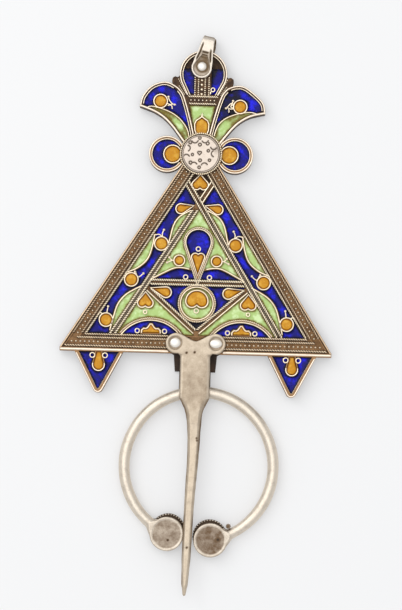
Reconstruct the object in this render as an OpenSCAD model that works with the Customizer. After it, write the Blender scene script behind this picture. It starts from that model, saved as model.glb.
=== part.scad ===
// Open-ring fibula brooch of silver with cell enamel, lying flat on its back.
// X runs to the right, Y towards the bail and Z out of the brooch's face.
// Plan sizes are taken from the centre of the medallion, and every piece is moved along Y at the end,
// so that the origin lies in the middle of the keeper's flat back.

/* [Triangle] */
// Width of the triangle at its base
base_w = 77.6; // [77:0.1:78.2]
// Distance from the medallion's centre down to the lower edge of the base
base_drop = 57.2; // [56.8:0.1:57.6]
// Width of the raised border along the two sloping sides
border_w = 4.3; // [4.1:0.1:4.5]
// Height of the raised border along the base
base_border_h = 5.25; // [5.1:0.05:5.4]
// Width of the bands that carry two twisted wires
band_w = 1.9; // [1.7:0.1:2.1]

/* [Plate] */
// Thickness of the base sheet
sheet_t = 1.1; // [1:0.05:1.2]
// Height of the cell walls above the sheet
wall_h = 2.2; // [2.1:0.05:2.3]
// Thickness of the plain cell wires
wire_t = 0.28; // [0.24:0.02:0.32]
// Depth of the glass in the cells
glass_t = 1.3; // [1.1:0.1:1.5]

/* [Pin] */
// Width of the pin's flat body
body_w = 8.5; // [8.2:0.1:8.8]
// Thickness of the pin's flat body
body_t = 1.8; // [1.6:0.1:2]
// Distance from the medallion's centre down to the pin's point
pin_drop = 126.3; // [125:0.1:127]

/* [Ring] */
// Radius of the ring at the middle of its rod
ring_r = 21.3; // [21.2:0.1:21.4]
// Diameter of the rod
rod_d = 2.9; // [2.7:0.1:2.9]
// Radius of the terminals' plain discs
disc_r = 4.9; // [4.6:0.1:4.9]

/* [Bail] */
// Lean of the bail to the right, in degrees
bail_lean = 12.6; // [0:0.1:30]
// Width of the bail's strap at its fold
strap_w = 2.9; // [2.7:0.1:3.1]

/* [Hidden] */
$fn = 48;

// Places along Y of the origin and of the triangle
origin_drop = 61;
apex_y = 5.04;
base_y = -base_drop;
side_slope = (base_w / 2) / (apex_y - base_y - 1.1);
side_angle = atan(side_slope);

// Levels in Z: the keeper and the bail's back leg lie under the plate
leaf_t = 0.8;
floor_z = leaf_t + sheet_t;
top_z = floor_z + wall_h;
ground_z = top_z - 0.45;
ground_lap = 0.1;
ridge_z = top_z - 0.2;
ridge_w = 0.3;
bare_z = top_z - 1.1;
glass_gap = 0.03;
bare_in = 0.05;
medallion_r = 6.1;
seat_r = 5.3;

// Bands: the sloping pair runs along the sides and crosses below the heart
cross_y = -14.1;
band_slope = 0.63;
cross_band_y = -36.9;
vee_top = [14, -38.9];
vee_tip = [0, -51.3];
vee_w = 1.7;
wire_pair = 0.65;

// Named places of the cells, in the left half: x, y and radius of circles
outer_circles = [[-10.6, -25.9, 1.8], [-18.9, -36.4, 1.8], [-25.8, -48.1, 1.8]];
upper_circle = [-5.35, -30.6, 1.4];
petal_circles = [[-11.95, 14.9, 1.8], [10.85, 13.8, 1.8]];
lobe_circle = [-8.1, -0.2, 2.4];
// Drops: point, middle of the round end and its radius
outer_drop = [[-1.9, -14.9], [-5.3, -15.8], 1.3];
vee_drop = [[-13, -38.75], [-8.9, -39.8], 1.4];
point_drop = [[-27.6, -54.2], [-27.6, -61], 1.55];
// Hearts: middle between the lobes, lobe radius, half their distance, length of the point
top_heart = [[0, -8.9], 1.2, 1.05, 2.9];
tulip = [[0, -29.5], 0.95, 0.8, 5];
side_heart = [[-14.7, -43], 1.15, 0.95, 3];
round_heart = [[0, -42.2], 3.05, 1.62];
crown_at = [-12.9, -51.6];
// Teardrop, round cell and bow, each with a wall of two wires
tear_at = [0, -25.2];
tear_tip = [0, -36.6];
tear_out = 4.25;
tear_in = 3.5;
round_at = [0, -42.8];
round_out = 5.4;
round_in = 4.55;
bow_at = [-12.9, -58.3];
bow_out = 11.25;
bow_in = 10.25;

// Corner points
point_x = 27.6;
point_half = 7.6;
point_tip_y = -67.5;
point_tip_r = 1.45;
point_rim = 1;

// Palmette
lobe_at = [-9.7, -0.2];
lobe_r = 5.2;
lobe_rim = 0.8;
petal_rim = 0.8;
top_at = [0.1, 22.9];
top_r = 6.8;
top_foot = 4.6;
top_rim = 0.8;
collar_y = 16.7;
rail_half = 2.35;
worn_y = 24.6;

// Pin head, shaft and rivets
pin_rivet = [5.8, -54.2];
pin_lobe = [5.6, -54.3];
pin_lobe_r = 2.95;
shoulder_y = -70;
shaft_x = 0.15;
pin_lean = 1.6;
pin_tip_r = 0.42;
pin_len = pin_drop + shoulder_y - 2.5 - pin_tip_r;
shaft_t = 1.7;
shaft_z = top_z + 0.91;
rivet_r = 0.85;
rivet_gap = 0.05;
boss_r = 1.7;
dome_z = top_z + body_t - 0.35;
dome_r = 1.6;
dome_h = 0.9;
bail_rivet_at = [-0.4, 25];

// Keeper
tab_half = 6.2;
tab_y = -62.3;
neck_half = 4.5;
end_half = 3;
end_y = -71.8;
end_t = 0.8;

// Ring
ring_at = [1.8, -89.3];
mouth_turn = -6.65;
terminal_turn = 17.15;
rod_z = (leaf_t + top_z) / 2;
disc_z = top_z - 0.15;
disc_t = 0.9;
drum_r = 4.8;
drum_shift = -0.7;

// Bail
leg_z = top_z + 0.25;
leg_t = 0.85;
strap_t = 0.7;
back_leg_t = 0.65;
bowl_r = 2.95;
fold_y = 6.5;

// Points and outlines

function on_circle(c, r, a) = [c[0] + r * cos(a), c[1] + r * sin(a)];
function arc(c, r, from, to, n) = [for (i = [0:n]) on_circle(c, r, from + (to - from) * i / n)];
function flipped(p) = [for (i = [len(p) - 1:-1:0]) [-p[i][0], p[i][1]]];
function whole(half) = concat(half, flipped(half));
function moved(p, c) = [for (q = p) q + c];
function unit(v) = v / norm(v);
function rest_of(p) = [for (i = [1:len(p) - 1]) p[i]];
function double_area(p) =
    let (n = len(p)) [for (i = [0:n - 1]) cross(p[i], p[(i + 1) % n])] * [for (q = p) 1];

// A smooth line through a few points, with n steps between each two
function spline_step(a, b, c, d, t) =
    0.5 * (2 * b + (c - a) * t + (2 * a - 5 * b + 4 * c - d) * t * t + (3 * b - a - 3 * c + d) * t * t * t);
function smooth(p, n) =
    let (last = len(p) - 1)
    concat([for (i = [0:last - 1], k = [0:n - 1])
        spline_step(p[max(i - 1, 0)], p[i], p[i + 1], p[min(i + 2, last)], k / n)], [p[last]]);

// The outline moved outwards by d, or inwards when d is negative
function grown(p, d) =
    let (n = len(p), s = sign(double_area(p)))
    [for (i = [0:n - 1])
        let (a = unit(p[i] - p[(i + n - 1) % n]), b = unit(p[(i + 1) % n] - p[i]),
             m = unit([a[1] + b[1], -a[0] - b[0]]), c = max(m * [a[1], -a[0]], 0.6))
        p[i] + m * (s * d / c)];

// Where the line through a along u meets the line through b along v
function meet(a, u, b, v) = a + u * (cross(b - a, v) / cross(u, v));
function corner(p, q) = meet(p[0], p[1], q[0], q[1]);

// A drop with its round end at c and its point at tip, moved outwards by g
function drop(tip, c, r, g) =
    let (v = (tip - c) * (1 + g / r), turn = atan2(v[1], v[0]), open = acos((r + g) / norm(v)))
    concat([c + v], arc(c, r + g, turn + open, turn + 360 - open, 16));

// A heart: lobes of radius r at a on either side of c, its point at distance h below (up = 1) or above
function heart(c, r, a, h, up, g) =
    let (q = r + g, half = atan(a / h) + asin(r / norm([a, h])), tip = h + g / sin(half),
         lobe = arc([a, 0], q, 180 - acos(a / q), atan2(-tip, -a) + acos(q / norm([a, tip])), 12),
         p = concat(lobe, [[0, -tip]], flipped(rest_of(lobe))))
    [for (v = p) [c[0] + v[0], c[1] + up * v[1]]];

// A round-topped heart: half-width w, two lobes of radius r side by side below
function omega(c, w, r, g) =
    let (a = w - r, q = r + g, lobe = arc([-a, 0], q, 180, 360 - acos(a / q), 8))
    moved(concat(arc([0, 0], w + g, 0, 180, 16), rest_of(lobe), rest_of(flipped(rest_of(lobe)))), c);

// Half-width of the triangle at height y, less an inset measured square to the side
function half_width(y, inset) = (apex_y - y) * side_slope - inset / cos(side_angle);
function triangle(inset, y) =
    [[0, apex_y - inset / sin(side_angle)], [-half_width(y, inset), y], [half_width(y, inset), y]];

// Lines that bound the fields, each as a point and a direction, for the left side of the plate
side_line = [[-half_width(-20, border_w), -20], [side_slope, 1]];
band_shift = band_w / 2 * sqrt(1 + band_slope * band_slope);
band_left = [[-band_shift, cross_y], [band_slope, 1]];
band_right = [[band_shift, cross_y], [band_slope, 1]];
over_left = [[-band_shift, cross_y], [-band_slope, 1]];
over_right = [[band_shift, cross_y], [-band_slope, 1]];
vee_dir = [vee_top[0], vee_tip[1] - vee_top[1]];
vee_shift = vee_w / 2 * norm(vee_dir) / vee_dir[0];
vee_low = [vee_tip - [0, vee_shift], vee_dir];
vee_high = [vee_tip + [0, vee_shift], vee_dir];
field_y = base_y + base_border_h;
base_line = [[0, field_y], [1, 0]];
above_line = [[0, cross_band_y + band_w / 2], [1, 0]];
below_line = [[0, cross_band_y - band_w / 2], [1, 0]];
axis_line = [[0, 0], [0, 1]];

// Fields of the left half and of the middle
outer_field = [corner(side_line, over_left), [-band_shift, cross_y],
               corner(band_left, base_line), corner(side_line, base_line)];
heart_left = corner(side_line, over_right);
heart_field = [corner(over_right, axis_line), heart_left, corner(side_line, axis_line),
               [-heart_left[0], heart_left[1]]];
upper_left = corner(band_right, above_line);
upper_field = [corner(band_right, axis_line), upper_left, [-upper_left[0], upper_left[1]]];
vee_left = corner(vee_high, below_line);
vee_field = [vee_left, vee_tip + [0, vee_shift], [-vee_left[0], vee_left[1]]];
side_field = [corner(band_right, vee_low), corner(vee_low, base_line), corner(band_right, base_line)];

// Corner points under the base
function point_outline(inset) =
    let (tip = [-point_x, point_tip_y + inset * 0.1], reach = point_half - inset * 1.15)
    concat(arc(tip, point_tip_r - min(inset, 1.2), -152, -28, 8),
           [[-point_x + reach, base_y + 1.3], [-point_x - reach, base_y + 1.3]]);

// Palmette: the left petal, and the right one as if it were on the left; it hangs a little lower
petal_low = [[-4.6, 2.4], [-6.2, 4.5], [-8.5, 7.5], [-11, 10], [-14, 11.8], [-17.9, 13.2]];
petal_top = [[-17.9, 13.2], [-17.2, 16.2], [-15, 19], [-12, 20.4], [-9.5, 20.3], [-7.1, 19]];
leaf_line = [[-17, 12.2], [-14, 13.3], [-10, 12.2], [-7, 10.5], [-5, 8.4], [-4, 6.6], [-3.2, 3.6]];
low_petal_low = [[-4.8, 2], [-6.8, 4.6], [-9, 7.3], [-11, 9.2], [-14, 10.9], [-18.1, 11.9]];
low_petal_top = [[-18.1, 11.9], [-17.55, 14.9], [-15.2, 17.4], [-12, 19.6], [-9.3, 19.8], [-7.1, 19]];
low_leaf_line = [[-17.2, 11], [-13.5, 12.3], [-10, 11.7], [-7, 10.5], [-5.1, 8.9], [-4.15, 7.1], [-3.3, 4]];
petal_in = [[-7.1, 19], [-5.6, 17.2], [-4.4, 14], [-3.25, 10], [-2.5, 7], [-1.9, 4.4]];
function petal_of(low, top) =
    concat(smooth(low, 2), rest_of(smooth(top, 3)), rest_of(smooth(petal_in, 2)));
function leaf_of(line) = concat(smooth(line, 3), [[-8, 1], [-16, 7]]);
petal = [petal_of(petal_low, petal_top), petal_of(low_petal_low, low_petal_top)];
petal_leaf = [leaf_of(leaf_line), leaf_of(low_leaf_line)];
stem = whole([[-1.5, 4.5], [-2.15, 6.4], [-2.9, 9.7], [-3.75, 14]]);
stem_web = whole([[-2.2, 4], [-3.2, 7], [-4.4, 11], [-5.3, 14], [-6.2, 16.9]]);
web = [[-8.3, 19.4], [-8.85, 20.7], [-8.7, 21.6], [-8, 22.1], [-7.2, 21.9], [-6.3, 22.7], [-4, 18],
       [-5, 16]];
function top_outline(inset) =
    concat(arc(top_at, top_r - inset, -22, 202, 28),
           [[-top_foot + inset, collar_y + (inset > 0 ? 0.3 : -0.8)],
            [top_foot - inset, collar_y + (inset > 0 ? 0.3 : -0.8)]]);

// Leaves of the outer field, each closed behind the wall that it grows from
leaf_a = concat(smooth([[-2.4, -16.2], [-5.5, -18], [-7.2, -20.5], [-8.2, -24.5], [-8.9, -27]], 4),
                [[-5, -24]]);
leaf_b = concat(smooth([[-12.6, -23.4], [-13.2, -27], [-14.5, -30.5], [-17.2, -33], [-20.6, -34.5]], 4),
                [[-19, -28]]);
leaf_c = concat(smooth([[-15.4, -37.9], [-20, -40.5], [-22.5, -43.5], [-23.7, -47.3], [-24.6, -51]], 4),
                [[-20, -45]]);

// The line that parts green from blue beside the teardrop, closed over the top of the field
hood = concat(smooth([[-13.4, -36.2], [-9.5, -34.1], [-7.2, -33], [-5.6, -32.6], [-3.9, -32.7],
                      [0.4, -33.5]], 3),
              [[0.4, -12], [-3, -14]]);
crown = moved(whole([[-2.7, 0], [-2.65, 0.8], [-2.1, 1.35], [-1.4, 1.25], [-0.9, 1.6], [-0.25, 2.6]]),
              crown_at);
pot = whole([[-1.4, 5.4], [-1.85, 6.8], [-1.9, 8.6], [-1.5, 9.5], [-0.8, 9.95], [-0.2, 10.4]]);

// Plan shapes

module both() {
    children();
    mirror([1, 0, 0]) children();
}

// Each child as a slab of its own, so that all are joined as solids
module slabs(h) {
    for (i = [0:$children - 1]) linear_extrude(h) children(i);
}

module plate_slabs(h) {
    slabs(h) {
        intersection() {
            polygon(triangle(0, base_y));
            translate([-base_w / 2, base_y - 1]) square([base_w, 80]);
        }
        both() polygon(point_outline(0));
        petals();
        both() translate(lobe_at) circle(lobe_r);
        both() polygon(web);
        polygon(top_outline(0));
        polygon(stem_web);
        seat(0);
    }
}

module petals() {
    polygon(petal[0]);
    mirror([1, 0, 0]) polygon(petal[1]);
}

module seat(g) {
    circle(seat_r + g);
}

module circles(places, g) {
    for (c = places) translate([c[0], c[1]]) circle(c[2] + g);
}

// Glass of each field, its outline pulled in by g

module outer_blue(g) {
    difference() {
        polygon(grown(outer_field, -g));
        polygon(grown(leaf_a, wire_t + g));
        polygon(grown(leaf_b, wire_t + g));
        polygon(grown(leaf_c, wire_t + g));
        circles(outer_circles, wire_t + g);
        polygon(drop(outer_drop[0], outer_drop[1], outer_drop[2], wire_t + g));
    }
}

module outer_green(g) {
    difference() {
        intersection() {
            polygon(grown(outer_field, -g));
            union() {
                polygon(grown(leaf_a, -g));
                polygon(grown(leaf_b, -g));
                polygon(grown(leaf_c, -g));
            }
        }
        circles(outer_circles, wire_t + g);
        polygon(drop(outer_drop[0], outer_drop[1], outer_drop[2], wire_t + g));
    }
}

module outer_amber(g) {
    circles(outer_circles, -g);
    polygon(drop(outer_drop[0], outer_drop[1], outer_drop[2], -g));
}

module upper_blue(g) {
    difference() {
        polygon(grown(upper_field, -g));
        both() polygon(grown(hood, wire_t + g));
        circles([upper_circle, [-upper_circle[0], upper_circle[1], upper_circle[2]]], wire_t + g);
        polygon(drop(tear_tip, tear_at, tear_out, g));
    }
    difference() {
        polygon(drop(tear_tip, tear_at, tear_out, tear_in - tear_out - g));
        polygon(heart(tulip[0], tulip[1], tulip[2], tulip[3], 1, wire_t + g));
    }
}

module upper_green(g) {
    difference() {
        intersection() {
            polygon(grown(upper_field, -g));
            both() polygon(grown(hood, -g));
        }
        circles([upper_circle, [-upper_circle[0], upper_circle[1], upper_circle[2]]], wire_t + g);
        polygon(drop(tear_tip, tear_at, tear_out, g));
    }
}

module upper_amber(g) {
    both() circles([upper_circle], -g);
    polygon(heart(tulip[0], tulip[1], tulip[2], tulip[3], 1, -g));
}

module vee_blue(g) {
    difference() {
        polygon(grown(vee_field, -g));
        translate(round_at) circle(round_out + g);
        both() polygon(drop(vee_drop[0], vee_drop[1], vee_drop[2], wire_t + g));
    }
}

module round_green(g) {
    difference() {
        translate(round_at) circle(round_in - g);
        polygon(omega(round_heart[0], round_heart[1], round_heart[2], wire_t + g));
    }
}

module vee_amber(g) {
    both() polygon(drop(vee_drop[0], vee_drop[1], vee_drop[2], -g));
    polygon(omega(round_heart[0], round_heart[1], round_heart[2], -g));
}

module side_green(g) {
    difference() {
        polygon(grown(side_field, -g));
        translate(bow_at) circle(bow_out + g);
        polygon(heart(side_heart[0], side_heart[1], side_heart[2], side_heart[3], -1, wire_t + g));
    }
}

module side_blue(g) {
    difference() {
        intersection() {
            polygon(grown(side_field, -g));
            translate(bow_at) circle(bow_in - g);
        }
        polygon(grown(crown, wire_t + g));
    }
}

module side_amber(g) {
    polygon(heart(side_heart[0], side_heart[1], side_heart[2], side_heart[3], -1, -g));
    polygon(grown(crown, -g));
}

module point_blue(g) {
    difference() {
        intersection() {
            polygon(point_outline(point_rim + g));
            translate([-50, base_y - 20 - g]) square([50, 20]);
        }
        polygon(drop(point_drop[0], point_drop[1], point_drop[2], wire_t + g));
    }
}

module point_amber(g) {
    intersection() {
        polygon(drop(point_drop[0], point_drop[1], point_drop[2], -g));
        translate([-50, base_y - 20 - g]) square([50, 20]);
    }
}

module petal_blue(i, g) {
    difference() {
        polygon(grown(petal[i], -petal_rim - g));
        polygon(grown(petal_leaf[i], wire_t + g));
    }
}

module petal_green(i, g) {
    intersection() {
        polygon(grown(petal[i], -petal_rim - g));
        polygon(grown(petal_leaf[i], -g));
    }
}

module lobe_blue(g) {
    difference() {
        translate(lobe_at) circle(lobe_r - lobe_rim - g);
        circles([lobe_circle], wire_t + g);
        seat(g);
    }
}

module stem_green(g) {
    difference() {
        polygon(grown(stem, -g));
        polygon(grown(pot, wire_t + g));
        seat(g);
    }
}

module top_blue(g) {
    difference() {
        polygon(top_outline(top_rim + g));
        translate(bail_rivet_at) circle(boss_r + g);
        translate([-rail_half - g, collar_y - 1]) square([2 * (rail_half + g), 8]);
        translate([-8, worn_y - g]) square([16, 8]);
    }
}

module blue_cells(g) {
    both() {
        outer_blue(g);
        side_blue(g);
        point_blue(g);
        lobe_blue(g);
    }
    difference() {
        union() {
            petal_blue(0, g);
            mirror([1, 0, 0]) petal_blue(1, g);
        }
        circles(petal_circles, wire_t + g);
        seat(g);
    }
    upper_blue(g);
    vee_blue(g);
    top_blue(g);
}

module green_cells(g) {
    both() {
        outer_green(g);
        side_green(g);
    }
    difference() {
        union() {
            petal_green(0, g);
            mirror([1, 0, 0]) petal_green(1, g);
        }
        circles(petal_circles, wire_t + g);
        seat(g);
    }
    upper_green(g);
    round_green(g);
    stem_green(g);
}

module amber_cells(g) {
    both() {
        outer_amber(g);
        side_amber(g);
        point_amber(g);
        circles([lobe_circle], -g);
    }
    circles(petal_circles, -g);
    upper_amber(g);
    vee_amber(g);
    polygon(grown(pot, -g));
    polygon(heart(top_heart[0], top_heart[1], top_heart[2], top_heart[3], -1, -g));
}

// Pockets whose glass is gone: round the upper heart and behind the bail
module bare_cells() {
    difference() {
        polygon(heart_field);
        polygon(heart(top_heart[0], top_heart[1], top_heart[2], top_heart[3], -1, wire_t));
        seat(0);
    }
    difference() {
        polygon(top_outline(top_rim + bare_in));
        translate(bail_rivet_at) circle(boss_r + bare_in);
        translate([-8, top_at[1] - 12]) square([16, 12 + worn_y - top_at[1] - ground_lap]);
    }
}

// Raised lines under the twisted wires

module line_ring(inset, y) {
    difference() {
        polygon(triangle(inset - ridge_w / 2, y - ridge_w / 2));
        polygon(triangle(inset + ridge_w / 2, y + ridge_w / 2));
    }
}

module strip(from, to, w) {
    side = unit([to[1] - from[1], from[0] - to[0]]) * w / 2;
    polygon([from - side, to - side, to + side, from + side]);
}

module line_pair(from, to) {
    side = unit([to[1] - from[1], from[0] - to[0]]) * wire_pair;
    strip(from - side, to - side, ridge_w);
    strip(from + side, to + side, ridge_w);
}

module border_lines() {
    difference() {
        union() {
            line_ring(0.9, base_y + 1.6);
            line_ring(3, base_y + 3.95);
            line_ring(4, base_y + 4.9);
        }
        seat(0);
    }
}

// The sunk ground of the border and the bands, cut a little way into the fields' cells
module border_ground() {
    difference() {
        polygon(triangle(0.5, base_y + 1.05));
        polygon(triangle(border_w + ground_lap, field_y + ground_lap));
        seat(0);
    }
}

module band_ground() {
    intersection() {
        polygon(triangle(border_w - ground_lap, field_y - ground_lap));
        union() {
            both() strip(band_at(field_y - 1), band_at(-6), band_w + 2 * ground_lap);
            both() strip(vee_at(15), vee_at(-0.6), vee_w + 2 * ground_lap);
            strip([upper_left[0] - 1, cross_band_y], [-upper_left[0] + 1, cross_band_y],
                  band_w + 2 * ground_lap);
        }
    }
}

module band_lines() {
    intersection() {
        polygon(triangle(border_w - 0.1, field_y - 0.1));
        union() {
            mirror([1, 0, 0]) line_pair(band_at(field_y - 1), band_at(-6));
            line_pair(band_at(field_y - 1), band_at(cross_y - 1.7));
            line_pair(band_at(cross_y + 1.7), band_at(-6));
            both() line_pair(vee_at(13.5), vee_at(2.2));
            line_pair([upper_left[0] - 0.6, cross_band_y], [-upper_left[0] + 0.6, cross_band_y]);
        }
    }
}

// Places on the middle lines of the left band and of the left arm of the vee
function band_at(y) = [band_slope * (y - cross_y), y];
function vee_at(x) = [-x, vee_tip[1] - vee_dir[1] / vee_dir[0] * x];

// Sub-parts

module placed() {
    translate([0, origin_drop, 0]) children();
}

module drilled(at, r) {
    translate([at[0], at[1], -1]) cylinder(h = 9, r = r);
}

module pediment() {
    placed() color("silver") difference() {
        union() {
            difference() {
                translate([0, 0, leaf_t]) plate_slabs(top_z - leaf_t);
                translate([0, 0, ground_z]) linear_extrude(1) border_ground();
                translate([0, 0, ground_z]) linear_extrude(1) band_ground();
                translate([0, 0, floor_z]) linear_extrude(wall_h + 1) blue_cells(0);
                translate([0, 0, floor_z]) linear_extrude(wall_h + 1) green_cells(0);
                translate([0, 0, floor_z]) linear_extrude(wall_h + 1) amber_cells(0);
                translate([0, 0, bare_z]) linear_extrude(wall_h) bare_cells();
            }
            translate([0, 0, ground_z - 0.2]) linear_extrude(ridge_z - ground_z + 0.2) {
                border_lines();
                band_lines();
            }
            both() translate([pin_rivet[0], pin_rivet[1], floor_z]) cylinder(h = wall_h, r = boss_r);
            translate([bail_rivet_at[0], bail_rivet_at[1], floor_z])
                cylinder(h = leg_z - floor_z - 0.05, r = boss_r - 0.1);
        }
        both() drilled(pin_rivet, rivet_r + rivet_gap);
        drilled(bail_rivet_at, rivet_r + rivet_gap);
    }
}

module enamel_blue() {
    placed() color("mediumblue") translate([0, 0, floor_z]) linear_extrude(glass_t) blue_cells(glass_gap);
}

module enamel_green() {
    placed() color("yellowgreen") translate([0, 0, floor_z]) linear_extrude(glass_t) green_cells(glass_gap);
}

module enamel_amber() {
    placed() color("orange") translate([0, 0, floor_z]) linear_extrude(glass_t) amber_cells(glass_gap);
}

// A disc with a raised edge and a groove inside it
module medallion() {
    placed() color("gainsboro") translate([0, 0, top_z]) rotate_extrude()
        polygon([[0, 0], [medallion_r, 0], [medallion_r, 0.75], [medallion_r - 0.25, 1],
                 [medallion_r - 0.55, 0.95], [medallion_r - 0.65, 0.6], [medallion_r - 0.95, 0.6],
                 [medallion_r - 1.05, 0.75], [0, 0.85]]);
}

// Half outline of the pin's head and body, from the saddle between the lobes down to the shoulder
pin_half = concat([[0.2, -53.6], [1.2, -53.25], [2.4, -52.6], [3.3, -52.05]],
                  arc(pin_lobe, pin_lobe_r, 120, -105, 16),
                  [[body_w / 2, -57.9], [body_w / 2, shoulder_y], [3.55, shoulder_y - 1.3],
                   [2.75, shoulder_y - 2.9], [2.3, shoulder_y - 4.4], [1.9, shoulder_y - 7]]);

module pin() {
    placed() color("tan") difference() {
        union() {
            translate([0, 0, top_z]) linear_extrude(body_t)
                polygon(whole(pin_half));
            translate([shaft_x, shoulder_y - 2.5, 0]) rotate([0, 0, -pin_lean]) intersection() {
                translate([0, 0, shaft_z]) rotate([90, 0, 0]) shaft();
                translate([-4, -pin_len - 4, shaft_z - shaft_t / 2]) cube([8, pin_len + 8, shaft_t]);
            }
        }
        both() drilled(pin_rivet, rivet_r + rivet_gap);
        both() translate([pin_rivet[0], pin_rivet[1], dome_z]) cylinder(h = 3, r = dome_r + 0.35);
    }
}

// Half-widths of the pin's shaft along its length
shaft_rows = [[0, 2.4], [2.5, 2.2], [5, 2], [8, 1.8], [15, 1.6], [27, 1.42], [43, 1.27], [50.5, 0.9],
              [pin_len, pin_tip_r]];

module shaft() {
    rotate_extrude()
        polygon(concat([[0, 0]], [for (row = shaft_rows) [row[1], row[0]]], [[0, pin_len + pin_tip_r]]));
}

module pin_rivet_at(side) {
    placed() color("whitesmoke") translate([side * pin_rivet[0], pin_rivet[1], 0]) {
        cylinder(h = dome_z + 0.1, r = rivet_r);
        dome(dome_z, dome_r, dome_h);
    }
}

// A rivet's head: a cap of radius r and height h that stands on level z
module dome(z, r, h) {
    ball = (r * r + h * h) / (2 * h);
    translate([0, 0, z]) intersection() {
        translate([0, 0, h - ball]) sphere(r = ball);
        translate([-r - 1, -r - 1, 0]) cube([2 * r + 2, 2 * r + 2, h + 1]);
    }
}

module pin_rivet_left() {
    pin_rivet_at(-1);
}

module pin_rivet_right() {
    pin_rivet_at(1);
}

keeper_half = [[7.6, -51.6], [7.6, -56.8], [tab_half, -57.6], [tab_half - 0.4, tab_y], [neck_half, tab_y],
               [neck_half, -69.6], [end_half, end_y]];

module keeper() {
    placed() color("dimgray") difference() {
        union() {
            linear_extrude(leaf_t) polygon(whole(keeper_half));
            translate([-end_half, end_y, 0]) cube([2 * end_half, end_t, top_z]);
        }
        both() drilled(pin_rivet, rivet_r + rivet_gap);
    }
}

module ring() {
    mouth = -90 + mouth_turn;
    placed() color("lightgray") translate([ring_at[0], ring_at[1], 0]) {
        translate([0, 0, rod_z]) rotate([0, 0, mouth + terminal_turn])
            rotate_extrude(angle = 360 - 2 * terminal_turn) translate([ring_r, 0]) circle(d = rod_d);
        for (side = [-1, 1])
            rotate([0, 0, mouth + side * terminal_turn]) translate([ring_r, 0, 0]) terminal(side);
    }
}

// A plain disc on a deeper drum, with a small knob where the rod enters
module terminal(side) {
    translate([0, 0, disc_z - disc_t]) cylinder(h = disc_t, r = disc_r);
    translate([drum_shift, 0, 0]) cylinder(h = disc_z - disc_t, r = drum_r);
    translate([-2.1, side * 5.2, rod_z - 1]) cylinder(h = 1.6, r = 0.7);
}

// The bail lies along Y from its rivet before it leans
module bail_leg(r, half, from_z, t) {
    translate([0, 0, from_z]) linear_extrude(t)
        polygon(concat(arc([0, -0.4], r, -190, 10, 20), [[half, fold_y], [-half, fold_y]]));
}

module bail() {
    fold_r = (leg_z + leg_t - 0.06) / 2;
    placed() color("whitesmoke")
    translate([bail_rivet_at[0], bail_rivet_at[1], 0]) rotate([0, 0, -bail_lean])
        difference() {
            union() {
                bail_leg(bowl_r, strap_w / 2, leg_z, leg_t);
                bail_leg(2.1, strap_w / 2, 0.06, back_leg_t);
                translate([0, fold_y, leg_z + leg_t - fold_r]) rotate([0, 90, 0])
                    rotate_extrude(angle = 180) translate([fold_r - strap_t, -strap_w / 2])
                        square([strap_t, strap_w]);
            }
            translate([0, 0, leg_z + 0.45]) linear_extrude(2)
                polygon(concat(arc([0, -0.4], bowl_r - 0.55, -190, 10, 20), [[0.6, 3.4], [-0.6, 3.4]]));
            translate([0, 0, -1]) cylinder(h = 9, r = rivet_r + rivet_gap);
        }
}

module bail_rivet() {
    placed() color("whitesmoke") translate([bail_rivet_at[0], bail_rivet_at[1], 0]) {
        cylinder(h = leg_z + 0.6, r = rivet_r);
        dome(leg_z + 0.5, 1.4, 0.8);
    }
}

pediment();
enamel_blue();
enamel_green();
enamel_amber();
medallion();
pin();
pin_rivet_left();
pin_rivet_right();
keeper();
ring();
bail();
bail_rivet();
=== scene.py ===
"""Looks of an open-ring fibula brooch with cell enamel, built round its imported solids.

Plan places are in millimetres from the medallion's centre, with Y towards the bail.
The row's origin lies ORIGIN_DROP below that centre, and heights are above the surface it lies on.
"""

import logging
import math
from collections.abc import Callable
from dataclasses import dataclass, field
from enum import Enum

import bmesh
import bpy
import numpy as np
from mathutils import Matrix, Vector, noise
from mathutils.kdtree import KDTree


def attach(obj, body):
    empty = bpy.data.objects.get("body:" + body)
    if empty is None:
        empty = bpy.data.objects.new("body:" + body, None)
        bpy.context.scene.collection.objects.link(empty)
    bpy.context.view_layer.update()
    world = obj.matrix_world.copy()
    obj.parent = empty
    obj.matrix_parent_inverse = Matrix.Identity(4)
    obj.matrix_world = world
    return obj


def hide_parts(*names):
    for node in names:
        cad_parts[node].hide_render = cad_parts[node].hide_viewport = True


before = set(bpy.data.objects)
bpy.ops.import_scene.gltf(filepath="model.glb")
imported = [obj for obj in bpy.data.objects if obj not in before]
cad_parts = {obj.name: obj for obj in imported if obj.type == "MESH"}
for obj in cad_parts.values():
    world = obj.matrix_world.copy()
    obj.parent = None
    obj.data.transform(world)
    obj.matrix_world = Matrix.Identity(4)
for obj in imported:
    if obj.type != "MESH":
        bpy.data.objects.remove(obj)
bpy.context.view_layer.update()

log = logging.getLogger("brooch")

Plan = np.ndarray
Colour = tuple[float, float, float]
Point = tuple[float, float]
Path = tuple[Point, ...]
Pair = tuple[float, float]
Triple = tuple[float, float, float]
Spot = tuple[float, float, float]
Socket = bpy.types.NodeSocket

MM = 0.001
ORIGIN_DROP = 61.0

# Heights in millimetres
GROUND_Z = 3.65
WIRE_Z = 4.0
TOP_Z = 4.1
ROPE_TOP = 4.3

# The triangle
APEX_Y = 5.04
BASE_Y = -57.2
HALF_BASE = 38.8
SIDE_SLOPE = HALF_BASE / (APEX_Y - BASE_Y - 1.1)
SIDE_COS = math.cos(math.atan(SIDE_SLOPE))
FIELD_Y = -51.95
MEDALLION_R = 5.9

# Dimmer parts of the glass: plan place, reach and share
DIM_BLUE = ((8, 15, 5.5, 0.8), (0, 26.5, 7.6, 0.95), (0, -17.5, 3, 0.6), (0, -49, 3.5, 0.8))
DIM_GREEN = ((-11, 11.5, 5, 0.7), (-4.2, 6, 2.8, 0.6), (10, 10.8, 4.2, 0.65), (3.5, 5.5, 2.8, 0.6))


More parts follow.
